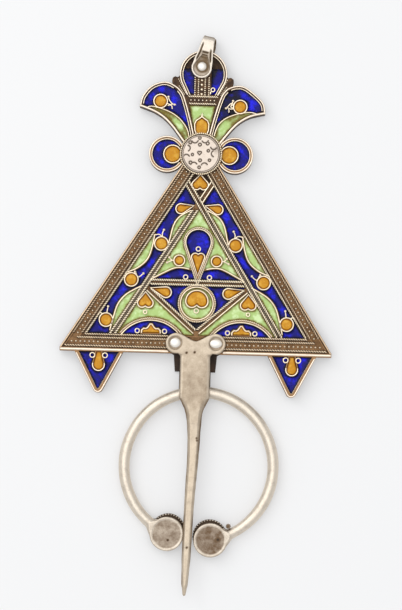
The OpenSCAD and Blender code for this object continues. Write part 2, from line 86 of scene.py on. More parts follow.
class Body(Enum):
    """The bodies that move on their own."""

    BROOCH = "brooch"
    RING = "ring_body"
    BAIL = "bail_body"


def srgb(*parts: int) -> Colour:
    """Linear colour of a red, green and blue from 0 to 255."""
    shares = [part / 255 for part in parts]
    return tuple(s / 12.92 if s <= 0.04045 else ((s + 0.055) / 1.055) ** 2.4 for s in shares)


# Plan paths


def on_circle(centre: Point, radius: float, angle: float) -> Point:
    """Point of a circle at an angle in degrees."""
    turn = math.radians(angle)
    return centre[0] + radius * math.cos(turn), centre[1] + radius * math.sin(turn)


def arc(centre: Point, radius: float, start: float, stop: float, steps: int) -> Plan:
    """Points along an arc, in a number of steps from one angle to another, in degrees."""
    return np.array([on_circle(centre, radius, start + (stop - start) * i / steps) for i in range(steps + 1)])


def circle(centre: Point, radius: float, steps: int = 40) -> Plan:
    """Points of a closed circle."""
    return arc(centre, radius, 90, 450, steps)[:-1]


def mirrored(path: Plan) -> Plan:
    """The same path on the other side of the middle line."""
    return np.asarray(path, float) * (-1, 1)


def folded(half: Path) -> Plan:
    """An outline from its left half, which may end on the middle line."""
    return np.vstack([half, mirrored(half)[::-1][1 if half[-1][0] == 0 else 0 :]])


def smooth(points: Path, steps: int = 6) -> Plan:
    """A smooth line through a few points.

    Args:
        points: The points that it passes.
        steps: Parts between each two.

    Returns:
        The points of the line.
    """
    p = np.asarray(points, float)
    last = len(p) - 1
    out = []
    for i in range(last):
        a, b, c, d = p[max(i - 1, 0)], p[i], p[i + 1], p[min(i + 2, last)]
        for t in (k / steps for k in range(steps)):
            curve = 2 * b + (c - a) * t + (2 * a - 5 * b + 4 * c - d) * t * t + (3 * b - a - 3 * c + d) * t**3
            out.append(0.5 * curve)
    out.append(p[last])
    return np.array(out)


def drop(tip: Point, centre: Point, radius: float, grow: float = 0) -> Plan:
    """Outline of a drop.

    Args:
        tip: Its point.
        centre: Middle of its round end.
        radius: Radius of its round end.
        grow: How far the outline is moved outwards.

    Returns:
        The closed outline.
    """
    v = (np.array(tip) - centre) * (1 + grow / radius)
    turn = math.degrees(math.atan2(v[1], v[0]))
    opening = math.degrees(math.acos((radius + grow) / np.hypot(*v)))
    return np.vstack([[centre + v], arc(centre, radius + grow, turn + opening, turn + 360 - opening, 28)])


def heart(centre: Point, radius: float, gap: float, length: float, up: int, grow: float) -> Plan:
    """Outline of a heart.

    Args:
        centre: Middle between the two lobes.
        radius: Radius of a lobe.
        gap: Half the distance between the lobes' centres.
        length: Distance of the point from the middle.
        up: 1 for a point below, -1 for a point above.
        grow: How far the outline is moved outwards.

    Returns:
        The closed outline.
    """
    q = radius + grow
    slant = math.atan(gap / length) + math.asin(radius / math.hypot(gap, length))
    tip = length + grow / math.sin(slant)
    stop = math.degrees(math.atan2(-tip, -gap) + math.acos(q / math.hypot(gap, tip)))
    lobe = arc((gap, 0), q, 180 - math.degrees(math.acos(gap / q)), stop, 16)
    half = np.vstack([lobe, [[0, -tip]], mirrored(lobe[1:])[::-1]])
    return half * (1, up) + centre


def omega(centre: Point, width: float, radius: float, grow: float) -> Plan:
    """Outline of a round-topped heart.

    Args:
        centre: Middle of its round top.
        width: Half of its width.
        radius: Radius of the two lobes below.
        grow: How far the outline is moved outwards.

    Returns:
        The closed outline.
    """
    a, q = width - radius, radius + grow
    lobe = arc((-a, 0), q, 180, 360 - math.degrees(math.acos(a / q)), 10)
    whole = np.vstack([arc((0, 0), width + grow, 0, 180, 24), lobe[1:], mirrored(lobe[1:])[::-1][1:]])
    return whole + centre


def half_width(y: float, inset: float) -> float:
    """Half the triangle's width at height y, less an inset measured square to its side."""
    return (APEX_Y - y) * SIDE_SLOPE - inset / SIDE_COS


def lengths(path: Plan, closed: bool) -> tuple[Plan, np.ndarray]:
    """The path, with its first point again at the end when closed, and the distance along it."""
    p = np.vstack([path, path[:1]]) if closed else np.asarray(path, float)
    return p, np.concatenate([[0], np.cumsum(np.hypot(*np.diff(p, axis=0).T))])


def evenly(path: Plan, count: int, closed: bool) -> Plan:
    """Points at equal distances along a path.

    Args:
        path: The path.
        count: Number of points.
        closed: Whether the path runs back to its start.

    Returns:
        The points; on a closed path the start isn't repeated.
    """
    p, along = lengths(path, closed)
    at = np.linspace(0, along[-1], count, endpoint=not closed)
    return np.c_[np.interp(at, along, p[:, 0]), np.interp(at, along, p[:, 1])]


def side_of(path: Plan, closed: bool) -> Plan:
    """Unit direction to the left of a path.

    Args:
        path: The path.
        closed: Whether the path runs back to its start.

    Returns:
        The direction at each of its points.
    """
    ahead = np.roll(path, -1, 0) - np.roll(path, 1, 0) if closed else np.gradient(path, axis=0)
    ahead = ahead / np.hypot(*ahead.T)[:, None]
    return np.c_[-ahead[:, 1], ahead[:, 0]]


# Finishes


@dataclass
class Shade:
    """A material's node tree while it is put together."""

    material: bpy.types.Material
    nodes: bpy.types.Nodes = field(init=False)
    links: bpy.types.NodeLinks = field(init=False)
    surface: bpy.types.Node = field(init=False)
    place: Socket = field(init=False)

    def __post_init__(self) -> None:
        """Empties the tree and puts the shader in it."""
        self.material.use_nodes = True
        self.nodes = self.material.node_tree.nodes
        self.links = self.material.node_tree.links
        self.nodes.clear()
        self.surface = self.nodes.new("ShaderNodeBsdfPrincipled")
        out = self.nodes.new("ShaderNodeOutputMaterial")
        self.links.new(self.surface.outputs[0], out.inputs["Surface"])
        self.place = self.nodes.new("ShaderNodeTexCoord").outputs["Object"]

    def feed(self, node: bpy.types.Node, inputs: dict[str | int, object]) -> None:
        """Feeds a node's inputs.

        Args:
            node: The node.
            inputs: For each input a socket to link, a value to set, or None to leave it as it is.
        """
        for name, value in inputs.items():
            if isinstance(value, Socket):
                self.links.new(value, node.inputs[name])
            elif value is not None:
                node.inputs[name].default_value = value

    def finish(self, inputs: dict[str, object]) -> bpy.types.Material:
        """Feeds the shader and gives the material."""
        self.feed(self.surface, inputs)
        return self.material

    def node(self, kind: str, inputs: dict[str | int, object]) -> bpy.types.Node:
        """Adds a node.

        Args:
            kind: Its type.
            inputs: What feeds it, as in feed.

        Returns:
            The node.
        """
        node = self.nodes.new(kind)
        self.feed(node, inputs)
        return node

    def noise(self, size: float, detail: float = 3, rough: float = 0.55) -> Socket:
        """Cloudy noise from 0 to 1 with patches of about size millimetres."""
        inputs = {"Vector": self.place, "Scale": 1 / (size * MM), "Detail": detail, "Roughness": rough}
        return self.node("ShaderNodeTexNoise", inputs).outputs["Fac"]

    def range(self, value: Socket, low: float, high: float, to: Pair = (0, 1)) -> Socket:
        """Stretches a value smoothly from one range to another.

        Args:
            value: The value.
            low: Where the first range starts.
            high: Where it stops.
            to: The second range.

        Returns:
            The new value.
        """
        inputs = {"Value": value, "From Min": low, "From Max": high, "To Min": to[0], "To Max": to[1]}
        node = self.node("ShaderNodeMapRange", inputs)
        node.interpolation_type = "SMOOTHSTEP"
        return node.outputs["Result"]

    def math(self, operation: str, a: object, b: object, clamp: bool = False) -> Socket:
        """One sum of two values.

        Args:
            operation: Its kind.
            a: The first value.
            b: The second value.
            clamp: Whether the result is kept from 0 to 1.

        Returns:
            The result.
        """
        node = self.node("ShaderNodeMath", {0: a, 1: b})
        node.operation, node.use_clamp = operation, clamp
        return node.outputs[0]

    def mix(self, share: Socket, a: Colour | Socket, b: Colour | Socket) -> Socket:
        """A blend of two colours.

        Args:
            share: Share of the second colour, from 0 to 1.
            a: The first colour.
            b: The second colour.

        Returns:
            The colour.
        """
        node = self.nodes.new("ShaderNodeMix")
        node.data_type = "RGBA"
        first, second = [(*end, 1) if isinstance(end, tuple) else end for end in (a, b)]
        self.feed(node, {0: share, 6: first, 7: second})
        return node.outputs[2]

    def along(self, axis: str) -> Socket:
        """Place along an axis in millimetres."""
        node = self.node("ShaderNodeSeparateXYZ", {0: self.place})
        return self.math("MULTIPLY", node.outputs[axis], 1 / MM)

    def attribute(self, name: str) -> Socket:
        """A number that the mesh carries at its points.

        Args:
            name: Its name.

        Returns:
            The number.
        """
        node = self.nodes.new("ShaderNodeAttribute")
        node.attribute_name = name
        return node.outputs["Fac"]

    def bump(self, value: Socket, depth: float, below: Socket | None = None) -> Socket:
        """Surface relief of that depth in millimetres."""
        inputs = {"Height": value, "Strength": 1.0, "Distance": depth * MM, "Normal": below}
        return self.node("ShaderNodeBump", inputs).outputs["Normal"]

    def openness(self, reach: float) -> Socket:
        """How open the metal lies.

        Args:
            reach: Distance over which it is felt, in millimetres.

        Returns:
            1 on open metal and 0 at the bottom of a crevice.
        """
        node = self.node("ShaderNodeAmbientOcclusion", {"Distance": reach * MM})
        node.samples = 4
        return node.outputs["AO"]

    def rounded(self, radius: float) -> Socket:
        """Makes edges look rounded.

        Args:
            radius: Their radius in millimetres.

        Returns:
            The surface's direction.
        """
        node = self.node("ShaderNodeBevel", {"Radius": radius * MM})
        node.samples = 4
        return node.outputs["Normal"]


@dataclass(frozen=True)
class Silver:
    """Old silver, bright where it is rubbed and darker low down and in crevices, from patina and from painted
    shade.

    Attributes:
        name: Name of the finish.
        bright: Colour of the rubbed metal.
        patina_and_shade: Colour of the tarnished metal, also painted as shade low down and in crevices.
        low: Height at which the patina and painted shade are full, in millimetres.
        high: Height from which the metal is bright.
        patchy: How much the darkening varies from place to place.
        patch: Size of the patches in millimetres.
        polish: Roughness of the bright metal.
        dull: Roughness of the darkened metal.
        dents: Depth of the fine relief in millimetres.
        edge: Radius that sharp edges look rounded by.
        crevice: Width of the crevices that darken with patina and painted shade, in millimetres.
        dark_from: Place along Y from which all of it is tarnished, in millimetres; 0 for nowhere.
    """

    name: str
    bright: Colour
    patina_and_shade: Colour
    low: float
    high: float
    patchy: float
    patch: float
    polish: float
    dull: float
    dents: float
    edge: float = 0.0
    crevice: float = 0.8
    dark_from: float = 0.0

    def make(self) -> bpy.types.Material:
        """Makes the finish.

        Returns:
            The material.
        """
        shade = Shade(bpy.data.materials.new(self.name))
        # Darker low down and in crevices: patina, and painted shade on lower sides and walls and where parts
        # or the floor close in.
        rubbed_and_lit = shade.range(shade.along("Z"), self.low, self.high)
        rubbed_and_lit = shade.math("MULTIPLY", rubbed_and_lit, shade.range(shade.openness(self.crevice), 0.25, 0.85))
        if self.dark_from:
            bright_share = shade.range(shade.along("Y"), self.dark_from, self.dark_from + 3, (1, 0.12))
            rubbed_and_lit = shade.math("MULTIPLY", rubbed_and_lit, bright_share)
        cloud = shade.math("SUBTRACT", shade.noise(self.patch), 0.5)
        speck = shade.math("SUBTRACT", shade.noise(self.patch / 5, 2), 0.5)
        uneven = shade.math("ADD", shade.math("ADD", cloud, cloud), speck)
        uneven = shade.math("MULTIPLY", uneven, self.patchy)
        dark = shade.attribute("dark")
        rubbed_and_lit = shade.math("SUBTRACT", shade.math("ADD", rubbed_and_lit, uneven), dark, clamp=True)
        # Near black where dark passes 1: pits, the dark knob, and painted shade on the ring's drums.
        black = tuple(part * 0.2 for part in self.patina_and_shade)
        colour = shade.mix(shade.range(dark, 1.05, 1.4), shade.mix(rubbed_and_lit, self.patina_and_shade, self.bright), black)
        below = shade.rounded(self.edge) if self.edge else None
        return shade.finish({
            "Base Color": colour,
            "Metallic": shade.range(rubbed_and_lit, 0, 0.5, (0.1, 1)),
            "Specular IOR Level": 0.25,
            "Roughness": shade.range(rubbed_and_lit, 0, 1, (self.dull, self.polish)),
            "Normal": shade.bump(shade.noise(self.patch / 3, 4), self.dents, below),
        })


@dataclass(frozen=True)
class Enamel:
    """Fused glass in a cell, with painted shade where it meets the wall.

    Attributes:
        name: Name of the finish.
        body: Its main colour.
        light: Colour of its paler clouds.
        wall_shade: Colour of the painted shade beside the walls.
        reach: Width of the painted shade in millimetres.
        clouds: Size of the clouds in millimetres.
        cloudy: Share of cloud, from 0 to 1.
    """

    name: str
    body: Colour
    light: Colour
    wall_shade: Colour
    reach: float
    clouds: float
    cloudy: float

    def make(self) -> bpy.types.Material:
        """Makes the finish.

        Returns:
            The material.
        """
        shade = Shade(bpy.data.materials.new(self.name))
        cloud = shade.range(shade.noise(self.clouds, 4, 0.6), 0.45, 0.66, (0, self.cloudy))
        # Painted shade of the walls: the wall_shade colour near them, with a wandering edge.
        wander = shade.math("MULTIPLY", shade.math("SUBTRACT", shade.noise(1.2, 3), 0.5), self.reach * 1.2)
        inside = shade.range(shade.math("ADD", shade.attribute("inset"), wander), 0.02, self.reach)
        return shade.finish({
            "Base Color": shade.mix(inside, self.wall_shade, shade.mix(cloud, self.body, self.light)),
            "Specular IOR Level": 0.16,
            "Roughness": shade.range(shade.noise(0.8, 3), 0.3, 0.8, (0.1, 0.3)),
            "Normal": shade.bump(shade.noise(0.9, 4), 0.07),
        })


class Finish(Enum):
    """The finishes of the brooch."""

    # Plate: patina in its hollows, and painted shade on its walls below the tops, by height.
    PLATE = Silver(
        "plate_silver", (0.29, 0.165, 0.079), (0.04, 0.019, 0.009),
        2.9, 4.2, 0.55, 1.4, 0.42, 0.6, 0.06, 0.06, 0.9, 64,
    )
    # Wire finishes: the lower sides of each strand and the gaps between strands go dark by height, partly
    # patina and partly painted shade.
    WIRE = Silver(
        "wire_silver", (1, 0.86, 0.64), (0.05, 0.03, 0.017), 4.02, 4.2, 0.2, 2.2, 0.35, 0.5, 0.02, 0, 0.3
    )
    CELL_WIRE = Silver(
        "cell_wire_silver", (1, 0.86, 0.65), (0.12, 0.075, 0.04), 3.8, 4.08, 0.2, 2.2, 0.35, 0.5, 0.02, 0, 0.3
    )
    DULL_WIRE = Silver(
        "dull_wire_silver", (0.72, 0.54, 0.36), (0.045, 0.027, 0.015),
        4.03, 4.23, 0.4, 2.0, 0.36, 0.55, 0.02, 0, 0.3,
    )
    BASE_WIRE = Silver(
        "base_wire_silver", (0.88, 0.69, 0.48), (0.035, 0.023, 0.016),
        4.04, 4.23, 0.4, 2.4, 0.35, 0.5, 0.02, 0, 0.3,
    )
    RIM_WIRE = Silver(
        "rim_wire_silver", (0.92, 0.79, 0.64), (0.12, 0.075, 0.045),
        3.85, 4.13, 0.3, 3.0, 0.35, 0.5, 0.03, 0, 0.3,
    )
    GRAIN = Silver(
        "grain_silver", (1, 0.87, 0.66), (0.2, 0.125, 0.065), 3.7, 3.9, 0.3, 2.6, 0.3, 0.5, 0.01, 0, 0.2
    )
    MEDALLION = Silver(
        "medallion_silver", (0.585, 0.505, 0.43), (0.1, 0.065, 0.04),
        4.5, 4.8, 0.26, 2.5, 0.4, 0.5, 0.03, 0, 0.3,
    )
    PIN = Silver(
        "pin_silver", (0.565, 0.475, 0.365), (0.15, 0.09, 0.045), 3.4, 5.0, 0.34, 1.8, 0.42, 0.55, 0.06
    )
    RIVET = Silver(
        "rivet_silver", (0.86, 0.82, 0.75), (0.5, 0.42, 0.34), 4.6, 5.3, 0.06, 1.5, 0.48, 0.5, 0.03
    )
    # Keeper: dark patina, with painted shade from the plate over it.
    KEEPER = Silver(
        "keeper_silver", (0.15, 0.095, 0.065), (0.035, 0.022, 0.015), 0.0, 4.0, 0.4, 3.0, 0.45, 0.6, 0.04, 0.1
    )
    # Ring: darker towards its underside by height, partly patina and partly painted shade on the rod's sides.
    RING = Silver(
        "ring_silver", (0.72, 0.64, 0.535), (0.15, 0.088, 0.044), -2.2, 1.6, 0.42, 2.0, 0.42, 0.5, 0.05
    )
    # Bail: painted shade on its back leg and the sides of its fold, which lie below the height ramp.
    BAIL = Silver(
        "bail_silver", (0.62, 0.555, 0.475), (0.15, 0.095, 0.045), 4.4, 5.0, 0.24, 1.2, 0.35, 0.45, 0.04
    )
    BLUE = Enamel("blue_enamel", srgb(9, 8, 122), srgb(24, 26, 232), srgb(7, 4, 22), 1.0, 2.6, 1.0)
    GREEN = Enamel(
        "green_enamel", srgb(180, 208, 128), srgb(216, 238, 178), srgb(124, 106, 40), 0.75, 2.2, 0.95
    )
    AMBER = Enamel("amber_enamel", srgb(199, 137, 27), srgb(221, 169, 60), srgb(132, 72, 18), 0.6, 1.6, 0.8)


# Making of meshes


def linked(name: str, data: bpy.types.ID) -> bpy.types.Object:
    """A new object in the scene.

    Args:
        name: Its name.
        data: Its mesh, curve, light or camera.

    Returns:
        The object.
    """
    piece = bpy.data.objects.new(name, data)
    bpy.context.scene.collection.objects.link(piece)
    return piece


def as_mesh(piece: bpy.types.Object) -> bpy.types.Object:
    """Turns a curve, or a mesh with modifiers, into one plain mesh object of the same name.

    Args:
        piece: The object, which is removed.

    Returns:
        The mesh object.
    """
    bpy.context.view_layer.update()
    mesh = bpy.data.meshes.new_from_object(piece.evaluated_get(bpy.context.evaluated_depsgraph_get()))
    name = piece.name
    bpy.data.objects.remove(piece)
    return linked(name, mesh)


def from_bmesh(name: str, bm: bmesh.types.BMesh) -> bpy.types.Object:
    """A new object from a bmesh, its faces turned outwards.

    Args:
        name: Name of the object.
        bm: The bmesh, which is freed.

    Returns:
        The mesh object.
    """
    bmesh.ops.recalc_face_normals(bm, faces=bm.faces)
    mesh = bpy.data.meshes.new(name)
    bm.to_mesh(mesh)
    bm.free()
    return linked(name, mesh)


@dataclass
class Line:
    """The middle line of one round wire.

    Attributes:
        points: Its points, x, y and z in plan millimetres.
        radius: Its radius at each point, or one for all.
        closed: Whether it runs back to its start.
    """

    points: np.ndarray
    radius: float | np.ndarray
    closed: bool = False


def swept(name: str, lines: list[Line], sides: int = 6) -> bpy.types.Object:
    """One piece of round wires.

    Args:
        name: Name of the piece.
        lines: The wires' middle lines.
        sides: Number of sides of a wire, even and at least 4.

    Returns:
        The mesh object.
    """
    data = bpy.data.curves.new(name, "CURVE")
    data.dimensions = "3D"
    data.bevel_depth = MM
    data.bevel_resolution = (sides - 4) // 2
    data.use_fill_caps = True
    for line in lines:
        spline = data.splines.new("POLY")
        spline.points.add(len(line.points) - 1)
        place = (line.points + (0, ORIGIN_DROP, 0)) * MM
        spline.points.foreach_set("co", np.c_[place, np.ones(len(place))].ravel())
        spline.points.foreach_set("radius", np.broadcast_to(line.radius, len(place)).astype(float))
        spline.use_cyclic_u = line.closed
    return as_mesh(linked(name, data))


def plain(path: Plan, z: float, radius: float, closed: bool = False) -> Line:
    """A plain wire along a plan path."""
    path = np.asarray(path, float)
    return Line(np.c_[path, np.full(len(path), z)], radius, closed)


def twisted(path: Plan, z: float, strand: float, pitch: float, closed: bool = False) -> list[Line]:
    """Two strands twisted round each other.

    Args:
        path: Plan path of the pair.
        z: Height of its middle.
        strand: Radius of one strand.
        pitch: Length of a full turn; beads show at half of it.
        closed: Whether the path runs back to its start.

    Returns:
        The two strands' lines.
    """
    steps = 8
    path = np.asarray(path, float)
    turns = max(1, round(lengths(path, closed)[1][-1] / pitch))
    count = turns * steps + (0 if closed else 1)
    base = evenly(path, count, closed)
    side = side_of(base, closed)
    turn = np.arange(count) * 2 * math.pi / steps
    out = []
    for start in (0, math.pi):
        across, up = strand * np.cos(turn + start), strand * np.sin(turn + start)
        out.append(Line(np.c_[base + side * across[:, None], z + up], strand * 1.02, closed))
    return out


def beads(name: str, spots: list[tuple[float, ...]]) -> bpy.types.Object:
    """One piece of small round grains.

    Args:
        name: Name of the piece.
        spots: x, y, z and radius of each grain in plan millimetres.

    Returns:
        The mesh object.
    """
    bm = bmesh.new()
    for x, y, z, radius in spots:
        at = Matrix.Translation(Vector((x, y + ORIGIN_DROP, z)) * MM)
        bmesh.ops.create_uvsphere(bm, u_segments=8, v_segments=6, radius=radius * MM, matrix=at)
    return from_bmesh(name, bm)


def row(path: Plan, pitch: float, z: float, radius: float, closed: bool = False) -> list[tuple[float, ...]]:
    """Grains at even distances along a path.

    Args:
        path: Plan path of the row.
        pitch: Distance between grains.
        z: Height of their middles.
        radius: Their radius.
        closed: Whether the path runs back to its start.

    Returns:
        x, y, z and radius of each grain.
    """
    path = np.asarray(path, float)
    count = max(2, round(lengths(path, closed)[1][-1] / pitch) + (0 if closed else 1))
    return [(x, y, z, radius) for x, y in evenly(path, count, closed)]


def lathed(profile: tuple[Pair, ...], steps: int) -> bmesh.types.BMesh:
    """A round shape turned from a profile, its two ends closed.

    Args:
        profile: Radius and height of each point.
        steps: Number of parts of a full turn.

    Returns:
        The shape, standing round the Z axis.
    """
    bm = bmesh.new()
    points = [bm.verts.new((radius, 0, z)) for radius, z in profile]
    edges = [bm.edges.new(pair) for pair in zip(points, points[1:])]
    bmesh.ops.spin(
        bm, geom=points + edges, cent=(0, 0, 0), axis=(0, 0, 1), angle=math.tau, steps=steps, use_merge=True
    )
    middle = (profile[0][1] + profile[-1][1]) / 2
    for high in (True, False):
        rim = [edge for edge in bm.edges if edge.is_boundary and (edge.verts[0].co.z > middle) == high]
        bmesh.ops.contextual_create(bm, geom=rim)
    return bm


def merged(node: str) -> bmesh.types.BMesh:
    """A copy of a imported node's mesh with its doubled points merged.

    Args:
        node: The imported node.

    Returns:
        The copy.
    """
    bm = bmesh.new()
    bm.from_mesh(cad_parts[node].data)
    bmesh.ops.remove_doubles(bm, verts=bm.verts, dist=1e-7)
    return bm


def fused(piece: bpy.types.Object, voxel: float, relax: int = 0) -> bpy.types.Object:
    """Makes one skin of all that a mesh holds, with its edges and joins rounded off as by wear.

    Args:
        piece: The mesh object, made of closed shells.
        voxel: Size of the new mesh's grid in millimetres.
        relax: Number of smoothing passes.

    Returns:
        The mesh object.
    """
    grid = piece.modifiers.new("grid", "REMESH")
    grid.mode = "VOXEL"
    grid.voxel_size = voxel * MM
    if relax:
        wear = piece.modifiers.new("wear", "SMOOTH")
        wear.factor = 0.5
        wear.iterations = relax
    return as_mesh(piece)


def softened(name: str, node: str, voxel: float, relax: int) -> bpy.types.Object:
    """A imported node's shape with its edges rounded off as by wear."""
    return fused(from_bmesh(name, merged(node)), voxel, relax)


def places(piece: bpy.types.Object) -> np.ndarray:
    """Places of a mesh's points in plan millimetres.

    Args:
        piece: The mesh object.

    Returns:
        x, y and z of each point.
    """
    place = np.zeros(len(piece.data.vertices) * 3, np.float32)
    piece.data.vertices.foreach_get("co", place)
    return place.reshape(-1, 3) / MM - (0, ORIGIN_DROP, 0)


def put(piece: bpy.types.Object, place: np.ndarray) -> None:
    """Moves a mesh's points to places given in plan millimetres."""
    piece.data.vertices.foreach_set("co", ((place + (0, ORIGIN_DROP, 0)) * MM).astype(np.float32).ravel())
    piece.data.update()


def lowered(piece: bpy.types.Object, depth: np.ndarray) -> None:
    """Moves a mesh's points down by a depth in millimetres for each."""
    put(piece, places(piece) - np.outer(depth, (0, 0, 1)))


def hammered(piece: bpy.types.Object, depth: float, size: float) -> None:
    """Moves a mesh's points a little along their normals, as hand work leaves them.

    Args:
        piece: The mesh object.
        depth: Greatest move in millimetres.
        size: Size of the dents in millimetres.
    """
    normal = np.zeros(len(piece.data.vertices) * 3, np.float32)
    piece.data.vertices.foreach_get("normal", normal)
    place = places(piece)
    lift = np.array([noise.noise(Vector(spot) / size) for spot in place]) * depth
    put(piece, place + normal.reshape(-1, 3) * lift[:, None])


def darkened(piece: bpy.types.Object, rule: Callable[[np.ndarray], np.ndarray]) -> None:
    """Notes at each point how much darker than elsewhere the metal is, by a rule for plan places."""
    dark = rule(places(piece)).astype(np.float32)
    piece.data.attributes.new("dark", "FLOAT", "POINT").data.foreach_set("value", dark)


def step(value: np.ndarray, low: float, high: float) -> np.ndarray:
    """0 below low and 1 above high, smoothly between them."""
    share = np.clip((value - low) / (high - low), 0, 1)
    return share * share * (3 - 2 * share)


def apart(place: np.ndarray, at: Point) -> np.ndarray:
    """Plan distance of places from one point."""
    return np.hypot(place[:, 0] - at[0], place[:, 1] - at[1])


def near(place: np.ndarray, at: Point, reach: float) -> np.ndarray:
    """1 at a plan place, fading to 0 at reach millimetres from it."""
    return step(1 - apart(place, at) / reach, 0, 1)


def peak(value: np.ndarray, middle: float, width: float) -> np.ndarray:
    """1 at the middle, fading to both sides over a width."""
    return np.exp(-(((value - middle) / width) ** 2))


class Workshop:
    """Keeps the finishes and seats each finished piece."""

    def __init__(self) -> None:
        """Starts with no finish made."""
        self.made: dict[Finish, bpy.types.Material] = {}

    def material(self, finish: Finish) -> bpy.types.Material:
        """The material of a finish, made once.

        Args:
            finish: The finish.

        Returns:
            The material.
        """
        if finish not in self.made:
            self.made[finish] = finish.value.make()
        return self.made[finish]

    def dress(self, piece: bpy.types.Object, finish: Finish) -> None:
        """Gives an object its finish."""
        piece.data.materials.clear()
        piece.data.materials.append(self.material(finish))

    def seat(self, piece: bpy.types.Object, body: Body, slot: str, finish: Finish, *replaces: str) -> None:
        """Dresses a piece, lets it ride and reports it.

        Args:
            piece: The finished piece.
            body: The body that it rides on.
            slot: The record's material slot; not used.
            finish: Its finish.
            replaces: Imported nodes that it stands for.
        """
        self.dress(piece, finish)
        for face in piece.data.polygons:
            face.use_smooth = True
        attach(piece, body.value)
        if replaces:
            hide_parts(*replaces)
        log.info("%s: %d faces on %s", piece.name, len(piece.data.polygons), body.value)

    def wires(self, name: str, lines: list[Line], finish: Finish, sides: int = 6) -> None:
        """Seats round wires on the plate."""
        self.seat(swept(name, lines, sides), Body.BROOCH, "silver", finish)

    def grains(self, name: str, spots: list[tuple[float, ...]], finish: Finish = Finish.GRAIN) -> None:
        """Seats round grains on the plate."""
        self.seat(beads(name, spots), Body.BROOCH, "silver", finish)


# The brooch's pieces


@dataclass
class Border:
    """Twisted wires and grains along the triangle's sides and base.

    Attributes:
        edge: Inset from the outer edge, lower end, height and radius of the plain edge wires.
        sides: Inset from the outer edge and length of a turn of each sloping wire.
        levels: Place along Y, inset of the ends and length of a turn of each wire of the base.
        flange: Place along Y, inset of the ends, height and radius of the base's edge wire.
        side_grains: Inset and radius of the sloping grains.
        base_grains: Place along Y, inset of the ends and radius of the base's grains.
        grain_z: Height of the grains.
        pitch: Distance between grains.
        strand: Radius of a strand of the twisted wires.
        pin_half: Half the width that the pin's head takes up.
    """

    edge: tuple[float, float, float, float] = (0.25, -56.2, 4.05, 0.22)
    sides: tuple[Pair, ...] = ((0.95, 1.4), (3.05, 1.3), (4.02, 1.3))
    levels: tuple[Triple, ...] = ((-55.6, 0.9, 1.5), (-53.25, 2.6, 1.3), (-52.3, 3.9, 1.3))
    flange: tuple[float, float, float, float] = (-56.65, 0.45, 3.9, 0.4)
    side_grains: Pair = (2.05, 0.27)
    base_grains: Triple = (-54.4, 1.9, 0.28)
    grain_z: float = 3.78
    pitch: float = 1.25
    strand: float = 0.165
    pin_half: float = 7.8

    def slope(self, inset: float, flip: int, low: float = FIELD_Y) -> Plan:
        """A sloping line from the base up to the medallion.

        Args:
            inset: Its distance from the outer edge.
            flip: 1 for the left side, -1 for the right one.
            low: Place along Y of its lower end.

        Returns:
            Its two ends.
        """
        for top in (y / 20 for y in range(-60, 101)):
            half = half_width(top, inset)
            if half < 0.1 or np.hypot(half, top) < MEDALLION_R - 0.2:
                break
        return np.array([[-half_width(low, inset), low], [-half, top]]) * (flip, 1)

    def across(self, y: float, inset: float) -> list[Plan]:
        """The base's line at y, left and right of the pin's head."""
        reach = half_width(y, inset)
        return [np.array([[-reach, y], [-self.pin_half, y]]), np.array([[self.pin_half, y], [reach, y]])]

    def rope(self, path: Plan, pitch: float) -> list[Line]:
        """A twisted wire of the border."""
        return twisted(path, ROPE_TOP - 2 * self.strand, self.strand, pitch)

    def build(self, shop: Workshop) -> None:
        """Builds and seats the border's pieces.

        Args:
            shop: The workshop.
        """
        edge, dull, bright, grains = [], [], [], []
        inset, low, z, wire = self.edge
        for flip in (1, -1):
            edge.append(plain(self.slope(inset, flip, low), z, wire))
            for wires, (inward, pitch) in zip((dull, dull, bright), self.sides):
                wires += self.rope(self.slope(inward, flip), pitch)
            inward, radius = self.side_grains
            grains += row(self.slope(inward, flip), self.pitch, self.grain_z, radius)
        base = []
        for y, inset, pitch in self.levels:
            for path in self.across(y, inset):
                base += self.rope(path, pitch)
        y, inset, z, radius = self.flange
        flange = [plain(path, z, radius) for path in self.across(y, inset)]
        y, inset, radius = self.base_grains
        for path in self.across(y, inset):
            grains += row(path, self.pitch, self.grain_z, radius)
        shop.wires("border_edge_wires", edge, Finish.DULL_WIRE)
        shop.wires("border_dull_wires", dull, Finish.DULL_WIRE)
        shop.wires("border_bright_wires", bright, Finish.WIRE)
        shop.wires("base_wires", base, Finish.BASE_WIRE)
        shop.wires("base_flange", flange, Finish.RIM_WIRE, 10)
        shop.grains("border_grains", grains)


